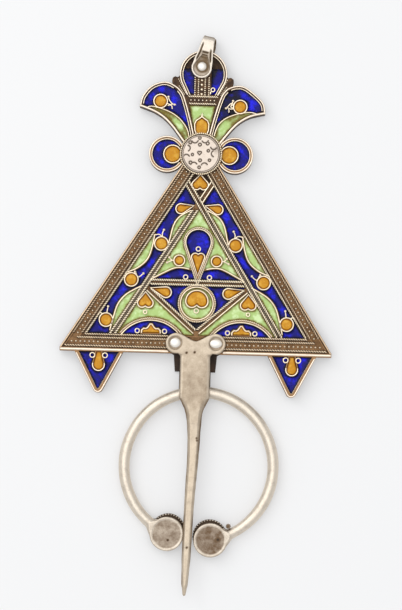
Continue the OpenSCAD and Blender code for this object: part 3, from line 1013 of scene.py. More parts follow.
@dataclass
class Bands:
    """Bands of two twisted wires that cross the triangle.

    Attributes:
        cross_y: Place where the sloping bands cross.
        slope: Their sideways run for each millimetre of height.
        stop: Distance below the crossing at which the wires of the crossed band end.
        resume: Distance above it from which they go on as plain wires.
        border: Width of the triangle's border at its sides.
        level_y: Middle of the level band.
        level_half: Half of its length.
        pair: Half the distance between a band's two wires.
        vee_top: Upper end of the lower bands' middle line.
        vee_tip: The point where the lower bands meet.
        strand: Radius of a strand.
        pitch: Length of a turn.
        z: Height of the wires.
        thin: Radius of the plain wires.
    """

    cross_y: float = -14.1
    slope: float = 0.63
    stop: float = 1.95
    resume: float = 0.8
    border: float = 4.3
    level_y: float = -36.9
    level_half: float = 13.4
    pair: float = 0.6
    vee_top: Point = (14, -38.9)
    vee_tip: Point = (0, -51.3)
    strand: float = 0.21
    pitch: float = 1.3
    z: float = ROPE_TOP - 2 * strand
    thin: float = 0.2

    def sloping(self, side: float, low: float, high: float | None = None) -> Plan:
        """One wire of the band that runs up to the right.

        Args:
            side: Its place in the pair, -1 or 1, or 0 for the middle.
            low: Place along Y of its lower end.
            high: Place along Y of its upper end; without it the wire runs up to the border.

        Returns:
            Its two ends.
        """
        shift = side * self.pair * math.hypot(1, self.slope)
        if high is None:
            gap = APEX_Y * SIDE_SLOPE - self.border / SIDE_COS + self.slope * self.cross_y - shift
            high = gap / (self.slope + SIDE_SLOPE)
        return np.array([[self.slope * (y - self.cross_y) + shift, y] for y in (low, high)])

    def rope(self, path: Plan) -> list[Line]:
        """A twisted wire of a band."""
        return twisted(path, self.z, self.strand, self.pitch)

    def build(self, shop: Workshop) -> None:
        """Builds and seats the bands.

        Args:
            shop: The workshop.
        """
        wires, inner, stubs = [], [], []
        for side in (-1, 1):
            wires += self.rope(mirrored(self.sloping(side, FIELD_Y)))
            wires += self.rope(self.sloping(side, FIELD_Y, self.cross_y - self.stop))
            low = self.cross_y + self.resume - side * self.pair
            stubs.append(plain(self.sloping(side, low), WIRE_Z + 0.02, self.thin))
            y = self.level_y + side * self.pair
            wires += self.rope(np.array([[-self.level_half, y], [self.level_half, y]]))
        run = np.array([self.vee_top[0], self.vee_top[1] - self.vee_tip[1]])
        across = np.array([-run[1], run[0]]) / np.hypot(*run) * self.pair
        upper = np.array([self.vee_tip + across + run * 0.04, self.vee_top + across - run * 0.02])
        lower = np.array([self.vee_tip - across + run * 0.03, self.vee_top - across])
        for flip in (1, -1):
            wires += self.rope(upper * (flip, 1))
            inner.append(plain(lower * (flip, 1), WIRE_Z, self.thin))
        for flip in (1, -1):
            middle = self.sloping(0, FIELD_Y + 0.5, self.cross_y - 2.5) * (flip, 1)
            inner += twisted(middle, GROUND_Z + 0.12, 0.09, 0.9)
        shop.wires("band_wires", wires, Finish.WIRE)
        shop.wires("band_inner_wires", inner + stubs, Finish.CELL_WIRE)


@dataclass
class CellWalls:
    """Thin wires that round off the tops of the cell walls.

    Attributes:
        wire: Radius of the wires.
        half: Half of the wall's thickness.
        circles: x, y and radius of the round cells of the left side.
        petal_circles: The same in the two petals.
        drops: Point, centre and radius of the drops of the left side.
        leaves: Lines of the leaves of the left side.
        petal_leaves: Lines of the leaves in the two petals.
        hearts: Centre, radius, gap, length and direction of the hearts on the middle line.
        side_heart: The same of the left side's heart.
        round_heart: Centre, width and radius of the round-topped heart.
        crown: Left half of the crown's outline.
        crown_at: Plan place of the left crown.
        pot: Left half of the pot's outline.
        teardrop: Point, centre and radius of the teardrop.
        round_at: Centre of the round cell.
        round_r: Radius of its wire, and of the pearls round it.
        bow_at: Centre of the left bow.
        bows: Radius, first and last angle of the bow's plain and of its twisted wire, in degrees.
        rope: Height, radius of a strand and length of a turn of the twisted wires.
    """

    wire: float = 0.21
    half: float = 0.14
    circles: tuple[Triple, ...] = (
        (-10.6, -25.9, 1.8), (-18.9, -36.4, 1.8), (-25.8, -48.1, 1.8), (-5.35, -30.6, 1.4), (-8.1, -0.2, 2.4),
    )
    petal_circles: tuple[Triple, ...] = ((-11.95, 14.9, 1.8), (10.85, 13.8, 1.8))
    drops: tuple[tuple[Point, Point, float], ...] = (
        ((-1.9, -14.9), (-5.3, -15.8), 1.3),
        ((-13, -38.75), (-8.9, -39.8), 1.4),
        ((-27.6, -55.2), (-27.6, -61), 1.55),
    )
    leaves: tuple[Path, ...] = (
        ((-2.4, -16.2), (-5.5, -18), (-7.2, -20.5), (-8.2, -24.5), (-8.9, -27)),
        ((-12.6, -23.4), (-13.2, -27), (-14.5, -30.5), (-17.2, -33), (-20.6, -34.5)),
        ((-15.4, -37.9), (-20, -40.5), (-22.5, -43.5), (-23.7, -47.3), (-24.6, -51)),
        ((-13.2, -36.1), (-9.5, -34.1), (-7.2, -33), (-5.6, -32.6), (-3.9, -32.7), (-2.5, -33)),
    )
    petal_leaves: tuple[Path, ...] = (
        ((-15.6, 13.1), (-14, 13.3), (-10, 12.2), (-7, 10.5), (-5, 8.4), (-4, 6.6), (-3.6, 5)),
        ((15.7, 11.9), (13.5, 12.3), (10, 11.7), (7, 10.5), (5.1, 8.9), (4.15, 7.1), (3.6, 5.2)),
    )
    hearts: tuple[tuple, ...] = (((0, -8.9), 1.2, 1.05, 2.9, -1), ((0, -29.5), 0.95, 0.8, 5, 1))
    side_heart: tuple = ((-14.7, -43), 1.15, 0.95, 3, -1)
    round_heart: tuple = ((0, -42.2), 3.05, 1.62)
    crown: Path = ((-2.7, 0), (-2.65, 0.8), (-2.1, 1.35), (-1.4, 1.25), (-0.9, 1.6), (-0.25, 2.6))
    crown_at: Point = (-12.9, -51.6)
    pot: Path = (
        (-1.5, 5.8), (-1.95, 6.8), (-2.05, 8.6), (-1.6, 9.6), (-0.85, 10.1), (-0.12, 10.6), (0, 11.9),
    )
    teardrop: tuple[Point, Point, float] = ((0, -36.3), (0, -25.2), 3.66)
    round_at: Point = (0, -42.8)
    round_r: Pair = (4.68, 5.25)
    bow_at: Point = (-12.9, -58.3)
    bows: tuple[Triple, ...] = ((10.4, 35.5, 144.5), (10.98, 37, 143))
    rope: Triple = (ROPE_TOP - 0.24, 0.12, 1.2)

    def on_wall(self, path: Plan, closed: bool = True, share: float = 1) -> Line:
        """A wire on a wall's top, its radius a share of the usual one."""
        return plain(path, WIRE_Z, self.wire * share, closed)

    def left(self) -> list[tuple[Plan, bool]]:
        """The left side's walls.

        Returns:
            The path of each, and whether it is closed.
        """
        paths = [(circle((x, y), radius + self.half), True) for x, y, radius in self.circles]
        for tip, centre, radius in self.drops:
            path = drop(tip, centre, radius, self.half)
            below = path[path[:, 1] < BASE_Y - 0.2] if tip[1] < FIELD_Y else path
            paths.append((below, len(below) == len(path)))
        paths += [(smooth(leaf), False) for leaf in self.leaves]
        paths.append((heart(*self.side_heart, self.half), True))
        paths.append((folded(self.crown) + self.crown_at, False))
        return paths

    def build(self, shop: Workshop) -> None:
        """Builds and seats the wires of the cells.

        Args:
            shop: The workshop.
        """
        lines = []
        for path, closed in self.left():
            lines += [self.on_wall(path, closed), self.on_wall(mirrored(path), closed)]
        lines += [self.on_wall(heart(*part, self.half)) for part in self.hearts]
        lines += [self.on_wall(omega(*self.round_heart, self.half)), self.on_wall(folded(self.pot), False)]
        lines += [self.on_wall(circle((x, y), radius + self.half)) for x, y, radius in self.petal_circles]
        lines += [self.on_wall(smooth(leaf), False, 0.85) for leaf in self.petal_leaves]
        shop.wires("cell_wires", lines, Finish.CELL_WIRE)
        shop.wires("frame_wires", self.frames(), Finish.WIRE)
        pearls = row(circle(self.round_at, self.round_r[1], 60), 0.5, WIRE_Z, 0.27, True)
        shop.grains("pearl_circle", pearls, Finish.WIRE)

    def frames(self) -> list[Line]:
        """Wires of the teardrop, the round cell and the bows, each with a twisted one outside.

        Returns:
            The wires.
        """
        z, wire = WIRE_Z + 0.1, 0.19
        plain_bow, twisted_bow = [arc(self.bow_at, *bow, 40) for bow in self.bows]
        lines = [plain(drop(*self.teardrop), z, wire, True)]
        lines += twisted(drop(*self.teardrop, 0.45), *self.rope, True)
        lines.append(plain(circle(self.round_at, self.round_r[0], 60), z, wire, True))
        for flip in (1, -1):
            lines.append(plain(plain_bow * (flip, 1), z, wire))
            lines += twisted(twisted_bow * (flip, 1), *self.rope)
        return lines


@dataclass
class Tendrils:
    """Small curls, forks and rings that stand in the cells.

    Attributes:
        wire: Radius of the wires.
        knob: Radius of the knobs at their ends.
        forks: Short wires of the left side, each with a knob at its last point.
        stays: Short wires of the left side without a knob.
        rings: x, y and radius of the small rings of the left side.
        petal_forks: Curls in the two petals, with a knob at both ends.
        petal_stays: Short wires that hold the curls.
        middle_rings: x, y and radius of the rings that have no partner, and of those on the middle line.
        shoulder_rings: The same beside the top cell, where they lie deeper.
        shoulder_z: Height of the latter.
        bud: Point, centre, radius and height of the bud over the teardrop.
        tail: Short wire below the top cell's ring.
    """

    wire: float = 0.2
    knob: float = 0.42
    forks: tuple[Path, ...] = (
        ((-10.3, -24.0), (-10.4, -23), (-9.95, -21.95)),
        ((-16.9, -35.7), (-16.2, -35.3), (-15.5, -34.6)),
        ((-17.5, -35.2), (-17.6, -34.6), (-17.9, -34.2)),
        ((-25.6, -46.2), (-25.5, -45.4), (-25.3, -44.3)),
        ((-6.8, -30.7), (-7.6, -30.5), (-8.2, -29.8)),
        ((-7.5, -30.7), (-8.2, -31), (-8.8, -31.3)),
    )
    stays: tuple[Path, ...] = (
        ((-12.5, -23.5), (-11.3, -23.3), (-10.4, -24)),
        ((-26.9, -46.4), (-27.6, -46.1), (-28.1, -46.6)),
    )
    rings: tuple[Triple, ...] = (
        (-3.4, -35.3, 0.62), (-14.7, -45.6, 0.5), (-16.8, -51, 0.62), (-9, -51, 0.62), (-25.8, -58.3, 0.7),
        (-29.4, -58.3, 0.7),
    )
    petal_forks: tuple[Path, ...] = (
        ((-9.75, 16.15), (-9.55, 15.4), (-9.1, 14.7), (-8.5, 14.15), (-7.9, 13.95)),
        ((8.75, 15.5), (8.6, 14.9), (8.0, 14.6), (7.3, 13.8), (6.8, 13.3)),
    )
    petal_stays: tuple[Path, ...] = (
        ((-10, 14.25), (-9.3, 13.95), (-8.5, 14.1)),
        ((-9.9, 13.6), (-9.3, 13.8), (-8.7, 13.5), (-8.6, 12.7)),
        ((9.1, 13.3), (8.2, 13.1), (7.2, 13.5)),
        ((9.2, 14.4), (8.6, 14.6), (8.2, 14.4)),
        ((7.5, 13.1), (7.7, 12.6), (7.6, 12.1)),
    )
    middle_rings: tuple[Triple, ...] = (
        (0, -27.2, 0.62), (-0.1, -44.9, 0.62), (2.9, 18.5, 0.55), (8.6, 13.85, 0.42),
    )
    shoulder_rings: tuple[Triple, ...] = ((-7.95, 21.3, 0.6), (7.75, 20.85, 0.55))
    shoulder_z: float = 3.8
    bud: tuple[Point, Point, float, float] = ((0.3, -11.2), (0.3, -12.5), 0.62, 3.6)
    tail: Path = ((2.55, 18.1), (2.2, 17.6), (2.3, 17.2))

    def ring(self, x: float, y: float, radius: float, z: float = WIRE_Z) -> Line:
        """A small ring."""
        return plain(circle((x, y), radius, 16), z, self.wire, True)

    def curl(self, points: Path, flip: int = 1, share: float = 1) -> Line:
        """A short curl, its radius a share of the usual one."""
        return plain(smooth(points, 4) * (flip, 1), WIRE_Z, self.wire * share)

    def build(self, shop: Workshop) -> None:
        """Builds and seats the small wires.

        Args:
            shop: The workshop.
        """
        lines, ends = [], []
        for flip in (1, -1):
            forks = [self.curl(path, flip) for path in self.forks]
            ends += [fork.points[-1] for fork in forks]
            lines += forks + [self.curl(path, flip) for path in self.stays]
            lines += [self.ring(flip * x, y, radius) for x, y, radius in self.rings]
        curls = [self.curl(path) for path in self.petal_forks]
        ends += [curl.points[end] for curl in curls for end in (0, -1)]
        lines += curls + [self.curl(path, share=0.9) for path in self.petal_stays]
        lines += [self.ring(*spot) for spot in self.middle_rings]
        lines += [self.ring(*spot, self.shoulder_z) for spot in self.shoulder_rings]
        *bud, bud_z = self.bud
        lines += [plain(drop(*bud), bud_z, self.wire, True), plain(self.tail, WIRE_Z, self.wire)]
        shop.wires("tendrils", lines, Finish.CELL_WIRE)
        shop.grains("tendril_knobs", [(*end, self.knob) for end in ends], Finish.CELL_WIRE)


@dataclass
class Palmette:
    """Rim wires of the leaves round the medallion, the stem, the collar and the top cell.

    Attributes:
        petal: Lower, outer and inner edge of the left petal.
        low_petal: The same of the right petal, mirrored.
        lobe_at: Centre of the left lobe.
        lobe_r: Radius of a lobe.
        lobe_ends: First and last angle of a lobe's rim, in degrees.
        top_at: Centre of the top cell.
        top_r: Radius of the top cell.
        top_ends: First and last angle of its round part, in degrees.
        top_foot: Half of its width at its foot.
        foot_y: Place of its foot along Y.
        collar: Place along Y and both ends of each of the collar's wires.
        grain_rows: Both ends, distance, height over the wires and radius of each row of grains.
        lines: Fine twisted wires beside the top cell.
        rim: Inset and radius of the rim wires.
        low_rim: The same at the petals' lower edges.
        inner: Inset and radius of the wires inside the rims.
        z: Height of the wires.
    """

    petal: tuple[Path, ...] = (
        ((-4.6, 2.4), (-6.2, 4.5), (-8.5, 7.5), (-11, 10), (-14, 11.8), (-17.9, 13.2)),
        ((-17.9, 13.2), (-17.2, 16.2), (-15, 19), (-12, 20.4), (-9.5, 20.3), (-7.1, 19)),
        ((-7.1, 19), (-5.6, 17.2), (-4.4, 14), (-3.25, 10), (-2.5, 7), (-1.9, 4.4)),
    )
    low_petal: tuple[Path, ...] = (
        ((-4.8, 2), (-6.8, 4.6), (-9, 7.3), (-11, 9.2), (-14, 10.9), (-18.1, 11.9)),
        ((-18.1, 11.9), (-17.55, 14.9), (-15.2, 17.4), (-12, 19.6), (-9.3, 19.8), (-7.1, 19)),
        ((-7.1, 19), (-5.6, 17.2), (-4.4, 14), (-3.25, 10), (-2.5, 7), (-1.9, 4.4)),
    )
    lobe_at: Point = (-9.7, -0.2)
    lobe_r: float = 5.2
    lobe_ends: Pair = (33, 327)
    top_at: Point = (0.1, 22.9)
    top_r: float = 6.8
    top_ends: Pair = (-22, 202)
    top_foot: float = 4.6
    foot_y: float = 16.9
    collar: tuple[Triple, ...] = ((14.4, -3.75, 3.9), (16.45, -4.1, 4.4))
    grain_rows: tuple[tuple[Point, Point, float, float, float], ...] = (
        ((-2.25, 17), (-2.25, 21.9), 0.62, 0.05, 0.26),
        ((-1.25, 17), (-1.25, 21.9), 0.62, 0.05, 0.26),
        ((0.65, 17), (0.65, 21.9), 0.62, 0.05, 0.26),
        ((1.75, 17), (1.75, 21.9), 0.62, 0.05, 0.26),
        ((-3.3, 15.42), (3.4, 15.42), 1.05, -0.1, 0.3),
        ((-0.3, 17.2), (-0.3, 21.2), 1.25, -0.05, 0.42),
    )
    lines: tuple[Path, ...] = (((-4.75, 17.3), (-6.4, 20.2), (-7.1, 21.6)), ((-5.1, 16.8), (-6.9, 19.5)))
    rim: Pair = (0.22, 0.24)
    low_rim: Pair = (0.36, 0.34)
    inner: Pair = (0.88, 0.15)
    z: float = 3.98

    def inset(self, path: Plan, by: float) -> Plan:
        """An open path moved to its right by a distance."""
        return path - side_of(path, False) * by

    def grains(self) -> list[tuple[float, ...]]:
        """The grains of the collar and the top cell.

        Returns:
            x, y, z and radius of each.
        """
        spots = []
        for start, stop, pitch, above, radius in self.grain_rows:
            spots += row([start, stop], pitch, self.z + above, radius)
        return spots

    def build(self, shop: Workshop) -> None:
        """Builds and seats the palmette's wires.

        Args:
            shop: The workshop.
        """
        outer, inner, fine = [], [], []
        both = ((outer, *self.rim), (inner, *self.inner))
        for flip, petal in ((1, self.petal), (-1, self.low_petal)):
            for part in petal:
                path, low = smooth(part, 5), part is petal[0]
                inset, radius = self.low_rim if low else self.rim
                outer.append(plain(self.inset(path, inset) * (flip, 1), self.z, radius))
                if not low:
                    inset, radius = self.inner
                    inner.append(plain(self.inset(path, inset)[2:-2] * (flip, 1), self.z, radius))
            for wires, inset, radius in both:
                lobe = arc(self.lobe_at, self.lobe_r - inset, *self.lobe_ends, 50) * (flip, 1)
                wires.append(plain(lobe, self.z, radius))
            for line in self.lines:
                fine += twisted(np.array(line) * (flip, 1), self.z, 0.1, 1.2)
        for wires, inset, radius in both:
            foot = self.top_foot - inset - 0.1
            bow = arc(self.top_at, self.top_r - inset, *self.top_ends, 44)
            path = np.vstack([[[foot, self.foot_y]], bow, [[-foot, self.foot_y]]])
            wires.append(plain(path, self.z, radius))
        for y, left, right in self.collar:
            fine += twisted([(left, y), (right, y)], ROPE_TOP - 0.32, 0.16, 1.3)
        shop.wires("petal_rims", outer, Finish.RIM_WIRE, 8)
        shop.wires("petal_inner_rims", inner, Finish.CELL_WIRE)
        shop.wires("collar_wires", fine, Finish.WIRE)
        shop.grains("collar_grains", self.grains())


@dataclass
class CornerPoints:
    """Rim wires of the two points below the base.

    Attributes:
        x: Distance of a point's middle line from the brooch's.
        half: Half of its width.
        tip_y: Place of its tip along Y.
        tip_r: Radius of its tip.
        wires: Inset, height and radius of its two wires.
    """

    x: float = 27.6
    half: float = 7.6
    tip_y: float = -67.5
    tip_r: float = 1.45
    wires: tuple[Triple, ...] = ((0.25, 3.98, 0.25), (0.95, 3.95, 0.16))

    def outline(self, inset: float) -> Plan:
        """The left point's outline, open at its top.

        Args:
            inset: How far it is drawn in.

        Returns:
            The path.
        """
        reach = self.half - inset * 1.15 - 0.9
        low = arc((-self.x, self.tip_y + inset * 0.1), self.tip_r - min(inset, 1.2), -28, -152, 8)
        return np.vstack([[[-self.x + reach, BASE_Y - 0.5]], low, [[-self.x - reach, BASE_Y - 0.5]]])

    def build(self, shop: Workshop) -> None:
        """Builds and seats the points' rims.

        Args:
            shop: The workshop.
        """
        rims = []
        for inset, z, radius in self.wires:
            rims += [plain(self.outline(inset) * (flip, 1), z, radius) for flip in (1, -1)]
        shop.wires("point_rims", rims, Finish.RIM_WIRE)


@dataclass
class Glass:
    """Enamel of one colour, its surface hollowed between the walls.

    Attributes:
        node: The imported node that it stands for.
        finish: Its finish.
        slot: Its material slot.
        level: Height of the glass in the middle of a cell, in millimetres.
        climb: How far it rises at the walls.
        voxel: Size of its grid.
        dim: Plan places, reach and share of the parts that are darker.
        split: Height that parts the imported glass's upper points from its lower ones.
        wall_z: Height above which the edges of its upper side lie.
        depth: Depth of the finished glass.
    """

    node: str
    finish: Finish
    slot: str
    level: float
    climb: float
    voxel: float = 0.2
    dim: tuple[tuple[float, float, float, float], ...] = ()
    split: float = 2.5
    wall_z: float = 3.0
    depth: float = 0.7

    def build(self, shop: Workshop) -> None:
        """Builds and seats the glass.

        Args:
            shop: The workshop.
        """
        bm = merged(self.node)
        walls = self.walls(bm)
        for vertex in bm.verts:
            vertex.co.z = (self.level - (self.depth if vertex.co.z < self.split * MM else 0)) * MM
        piece = fused(from_bmesh(self.node + "_surface", bm), self.voxel)
        self.hollow(piece.data, walls)
        shop.seat(piece, Body.BROOCH, self.slot, self.finish, self.node)

    def walls(self, bm: bmesh.types.BMesh) -> KDTree:
        """Points along the cells' upper edges.

        Args:
            bm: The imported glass.

        Returns:
            The points as a tree, for finding the nearest wall.
        """
        spots = []
        for edge in bm.edges:
            if len(edge.link_faces) != 2:
                continue
            flat = [face.normal.z > 0.9 for face in edge.link_faces]
            a, b = (vertex.co for vertex in edge.verts)
            if flat[0] != flat[1] and min(a.z, b.z) > self.wall_z * MM:
                parts = max(1, int((a - b).length / (0.15 * MM)))
                spots += [a.lerp(b, i / parts) for i in range(parts + 1)]
        tree = KDTree(len(spots))
        for i, spot in enumerate(spots):
            tree.insert((spot.x, spot.y, 0), i)
        tree.balance()
        return tree

    def hollow(self, mesh: bpy.types.Mesh, walls: KDTree) -> None:
        """Raises the glass at the walls and notes each point's distance from them, shortened in the dimmer
        parts; the finish paints shade where it is short.

        Args:
            mesh: The glass.
            walls: Points of the walls.
        """
        place = np.zeros(len(mesh.vertices) * 3, np.float32)
        mesh.vertices.foreach_get("co", place)
        place = place.reshape(-1, 3)
        inset = np.array([walls.find((x, y, 0))[2] / MM for x, y, _ in place], np.float32)
        upper = place[:, 2] > (self.level - self.depth / 2) * MM
        wave = np.array([noise.noise(Vector((x, y, 0)) / (2.5 * MM)) for x, y, _ in place])
        lift = self.climb * np.exp(-inset / 0.35) + wave * 0.08
        place[upper, 2] += (lift * MM)[upper]
        mesh.vertices.foreach_set("co", place.ravel())
        for x, y, reach, share in self.dim:
            far = apart(place / MM, (x, y + ORIGIN_DROP))
            inset *= 1 - share * step(reach - far, 0, reach * 0.5)
        mesh.attributes.new("inset", "FLOAT", "POINT").data.foreach_set("value", inset.astype(np.float32))
        mesh.update()


@dataclass
class Medallion:
    """The punched silver disc in the middle of the palmette.

    Attributes:
        rim: Radius of the disc.
        face: Radius of its flat face.
        top: Height of the face.
        edge: Radius and height of the points of its edge.
        bead: Radius of the beads of its edge.
        mark: Half-width of a punch mark.
        sunk: Depth of the punch marks.
        punches: x, y and radius of the ring punches.
        crescents: x, y, radius and first angle of the half-round punches.
        crescent: Angle that they take up, in degrees.
    """

    rim: float = 6.1
    face: float = 4.95
    top: float = 4.85
    edge: tuple[Pair, ...] = (
        (5.0, 4.72), (5.06, 4.66), (5.13, 4.72), (5.22, 4.84), (5.34, 4.84), (5.43, 4.68), (5.5, 4.52),
        (5.58, 4.52), (5.75, 4.68), (5.95, 4.7), (6.07, 4.5), (6.08, 4.1),
    )
    bead: float = 0.27
    mark: float = 0.15
    sunk: float = 0.16
    punches: tuple[Triple, ...] = (
        (-3.1, 3.2, 0.42), (1.85, 3.0, 0.42), (-0.35, 2.6, 0.4), (2.1, 0.9, 0.34), (-2.4, -0.3, 0.32),
        (-0.2, -1.9, 0.4), (2.5, -1.8, 0.34), (-2.9, -2.6, 0.4), (-0.4, 4.5, 0.36), (-0.4, -3.9, 0.36),
    )
    crescents: tuple[tuple[float, float, float, float], ...] = (
        (-1.8, 4.0, 0.95, 200), (1.1, 4.1, 0.95, 200), (-4.0, 1.5, 0.9, 290), (-4.1, -1.2, 0.9, 20),
        (3.6, 2.2, 0.9, 190), (3.9, 0.1, 0.9, 110), (-1.9, -3.4, 0.9, 20), (1.1, -3.5, 0.9, 20),
    )
    crescent: float = 150

    def depth(self, place: np.ndarray) -> np.ndarray:
        """Depth of the punch marks.

        Args:
            place: Plan places.

        Returns:
            The depth at each, from 0 to 1.
        """
        marks = [peak(apart(place, (x, y)), radius, self.mark) for x, y, radius in self.punches]
        for x, y, radius, start in self.crescents:
            turn = (np.degrees(np.arctan2(place[:, 1] - y, place[:, 0] - x)) - start) % 360
            marks.append(peak(apart(place, (x, y)), radius, self.mark) * (turn < self.crescent))
        line = evenly(heart((-0.4, 0.35), 0.3, 0.25, 0.7, 1, 0), 40, True)
        marks.append(peak(np.min([apart(place, spot) for spot in line], axis=0), 0, self.mark))
        return np.max(marks, axis=0) * (apart(place, (0, 0)) < self.face)

    def build(self, shop: Workshop) -> None:
        """Builds and seats the medallion, cut by its punches, and its beaded edge.

        Args:
            shop: The workshop.
        """
        flat = [(r / 14, self.top) for r in range(1, 70)]
        bm = lathed((*flat, *self.edge), 220)
        at = Matrix.Scale(MM, 4) @ Matrix.Translation((0, ORIGIN_DROP, 0))
        bmesh.ops.transform(bm, matrix=at, verts=bm.verts)
        piece = from_bmesh("medallion_face", bm)
        darkened(piece, lambda place: self.depth(place) * 0.9 + near(place, (4.4, 1.2), 1.6) * 0.3)
        lowered(piece, self.depth(places(piece)) * self.sunk)
        shop.seat(piece, Body.BROOCH, "engraved_silver", Finish.MEDALLION, "medallion")
        ring = row(circle((0, 0), self.rim - self.bead, 90), self.bead * 2, self.top + 0.01, self.bead, True)
        shop.seat(beads("medallion_beads", ring), Body.BROOCH, "engraved_silver", Finish.WIRE)


@dataclass
class PinSet:
    """The forged pin and the rivets' heads.

    Attributes:
        rivets: Plan places of the two rivets.
        stretches: How much wider and longer than round each rivet's head is beaten.
        lean: Sideways run of the shaft for each millimetre of its length.
        start: Sideways place of its upper end.
        shoulder: Place where the shaft starts.
        rows: Place along Y and half-width of the pin below its head.
        tones: Place along Y and darkness of the pin.
        pits: Plan places of small pits.
    """

    rivets: Path = ((-5.8, -54.2), (5.8, -54.2))
    stretches: tuple[Pair, ...] = ((1.0, 0.92), (1.17, 0.84))
    lean: float = 0.0279
    start: float = 0.15
    shoulder: float = -72.5
    rows: tuple[Pair, ...] = (
        (-126.6, 0.4), (-125, 0.65), (-123, 0.9), (-115.5, 1.27), (-99.5, 1.42), (-87.5, 1.6), (-80.5, 1.8),
        (-77.5, 2.0), (-75, 2.25), (-73, 2.8), (-71.3, 3.6), (-70, 4.2), (-58.2, 4.2),
    )
    tones: tuple[Pair, ...] = (
        (-126, 0.0), (-110, 0.04), (-82, 0.04), (-74, 0.2), (-69, 0.44), (-64, 0.38), (-58, 0.24),
        (-53, 0.08),
    )
    pits: Path = ((-0.2, -56.8), (-2.5, -57.0), (1.0, -81.2), (1.1, -81.9), (-0.9, -112.4))

    def side(self, place: np.ndarray) -> np.ndarray:
        """Distance of places from the pin's middle line.

        Args:
            place: Plan places.

        Returns:
            The distance of each, as a share of the pin's half-width.
        """
        x, y, _ = place.T
        middle = self.start * step(-y, 70, 73) + np.minimum(y - self.shoulder, 0) * self.lean
        return np.abs(x - middle) / np.interp(y, *zip(*self.rows))

    def worked(self, place: np.ndarray) -> np.ndarray:
        """Rounds the shaft, files off its sides and pits it.

        Args:
            place: Places of the pin's points.

        Returns:
            Their new places.
        """
        x, y, z = place.T
        share = np.clip(self.side(place), 0, 1)
        flat = 0.3 * share**12
        facet = 0.75 * np.clip((share - 0.5) / 0.5, 0, 1) ** 1.5
        round_off = np.where(y < -57.5, flat + (facet - flat) * step(-y, 67.5, 74.5), 0)
        pit = sum(near(place, at, 0.45) for at in self.pits) * 0.25
        return np.c_[x + 0.35 * peak(y, -86, 9), y, z - (round_off + pit) * step(z, 4.7, 5.5)]

    def shade(self, place: np.ndarray) -> np.ndarray:
        """How dark the pin is.

        Args:
            place: Plan places.

        Returns:
            The darkness at each.
        """
        y, side = place[:, 1], self.side(place)
        # Painted shade: a dark line along the shaft's sides below the shoulders.
        line = step(side, 0.8, 0.95) * step(-y, 69, 72) * step(y, -104, -78) * 0.7
        tone = np.interp(y, *zip(*self.tones))
        flat = tone * (1 - step(side, 0.78, 0.9) * (np.abs(y + 64) < 6))
        sunk = sum(step(2.05 - apart(place, rivet), 0, 0.25) for rivet in self.rivets) * 0.3
        pit = sum(near(place, at, 0.5) for at in self.pits) * 1.3
        return line + flat + sunk + pit

    def beaten(self, place: np.ndarray, at: Point, stretch: Pair) -> np.ndarray:
        """Beats a rivet's head flatter and oval.

        Args:
            place: Places of the rivet's points.
            at: Plan place of its middle.
            stretch: How much wider and longer the head gets.

        Returns:
            Their new places.
        """
        z = place[:, 2]
        grow = 1 + np.outer(step(z, 5.4, 5.6), np.array(stretch) - 1)
        return np.c_[at + (place[:, :2] - at) * grow, np.where(z > 5.5, 5.5 + (z - 5.5) * 0.5, z)]

    def build(self, shop: Workshop) -> None:
        """Builds and seats the pin and the rivets, and dresses the keeper.

        Args:
            shop: The workshop.
        """
        pin = softened("pin_forged", "pin", 0.16, 4)
        put(pin, self.worked(places(pin)))
        hammered(pin, 0.1, 3)
        darkened(pin, self.shade)
        shop.seat(pin, Body.BROOCH, "pin_silver", Finish.PIN, "pin")
        for side, at, stretch in zip(("left", "right"), self.rivets, self.stretches):
            head = softened(f"rivet_head_{side}", f"pin_rivet_{side}", 0.12, 3)
            put(head, self.beaten(places(head), at, stretch))
            shop.seat(head, Body.BROOCH, "rivet_silver", Finish.RIVET, f"pin_rivet_{side}")
        shop.dress(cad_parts["keeper"], Finish.KEEPER)


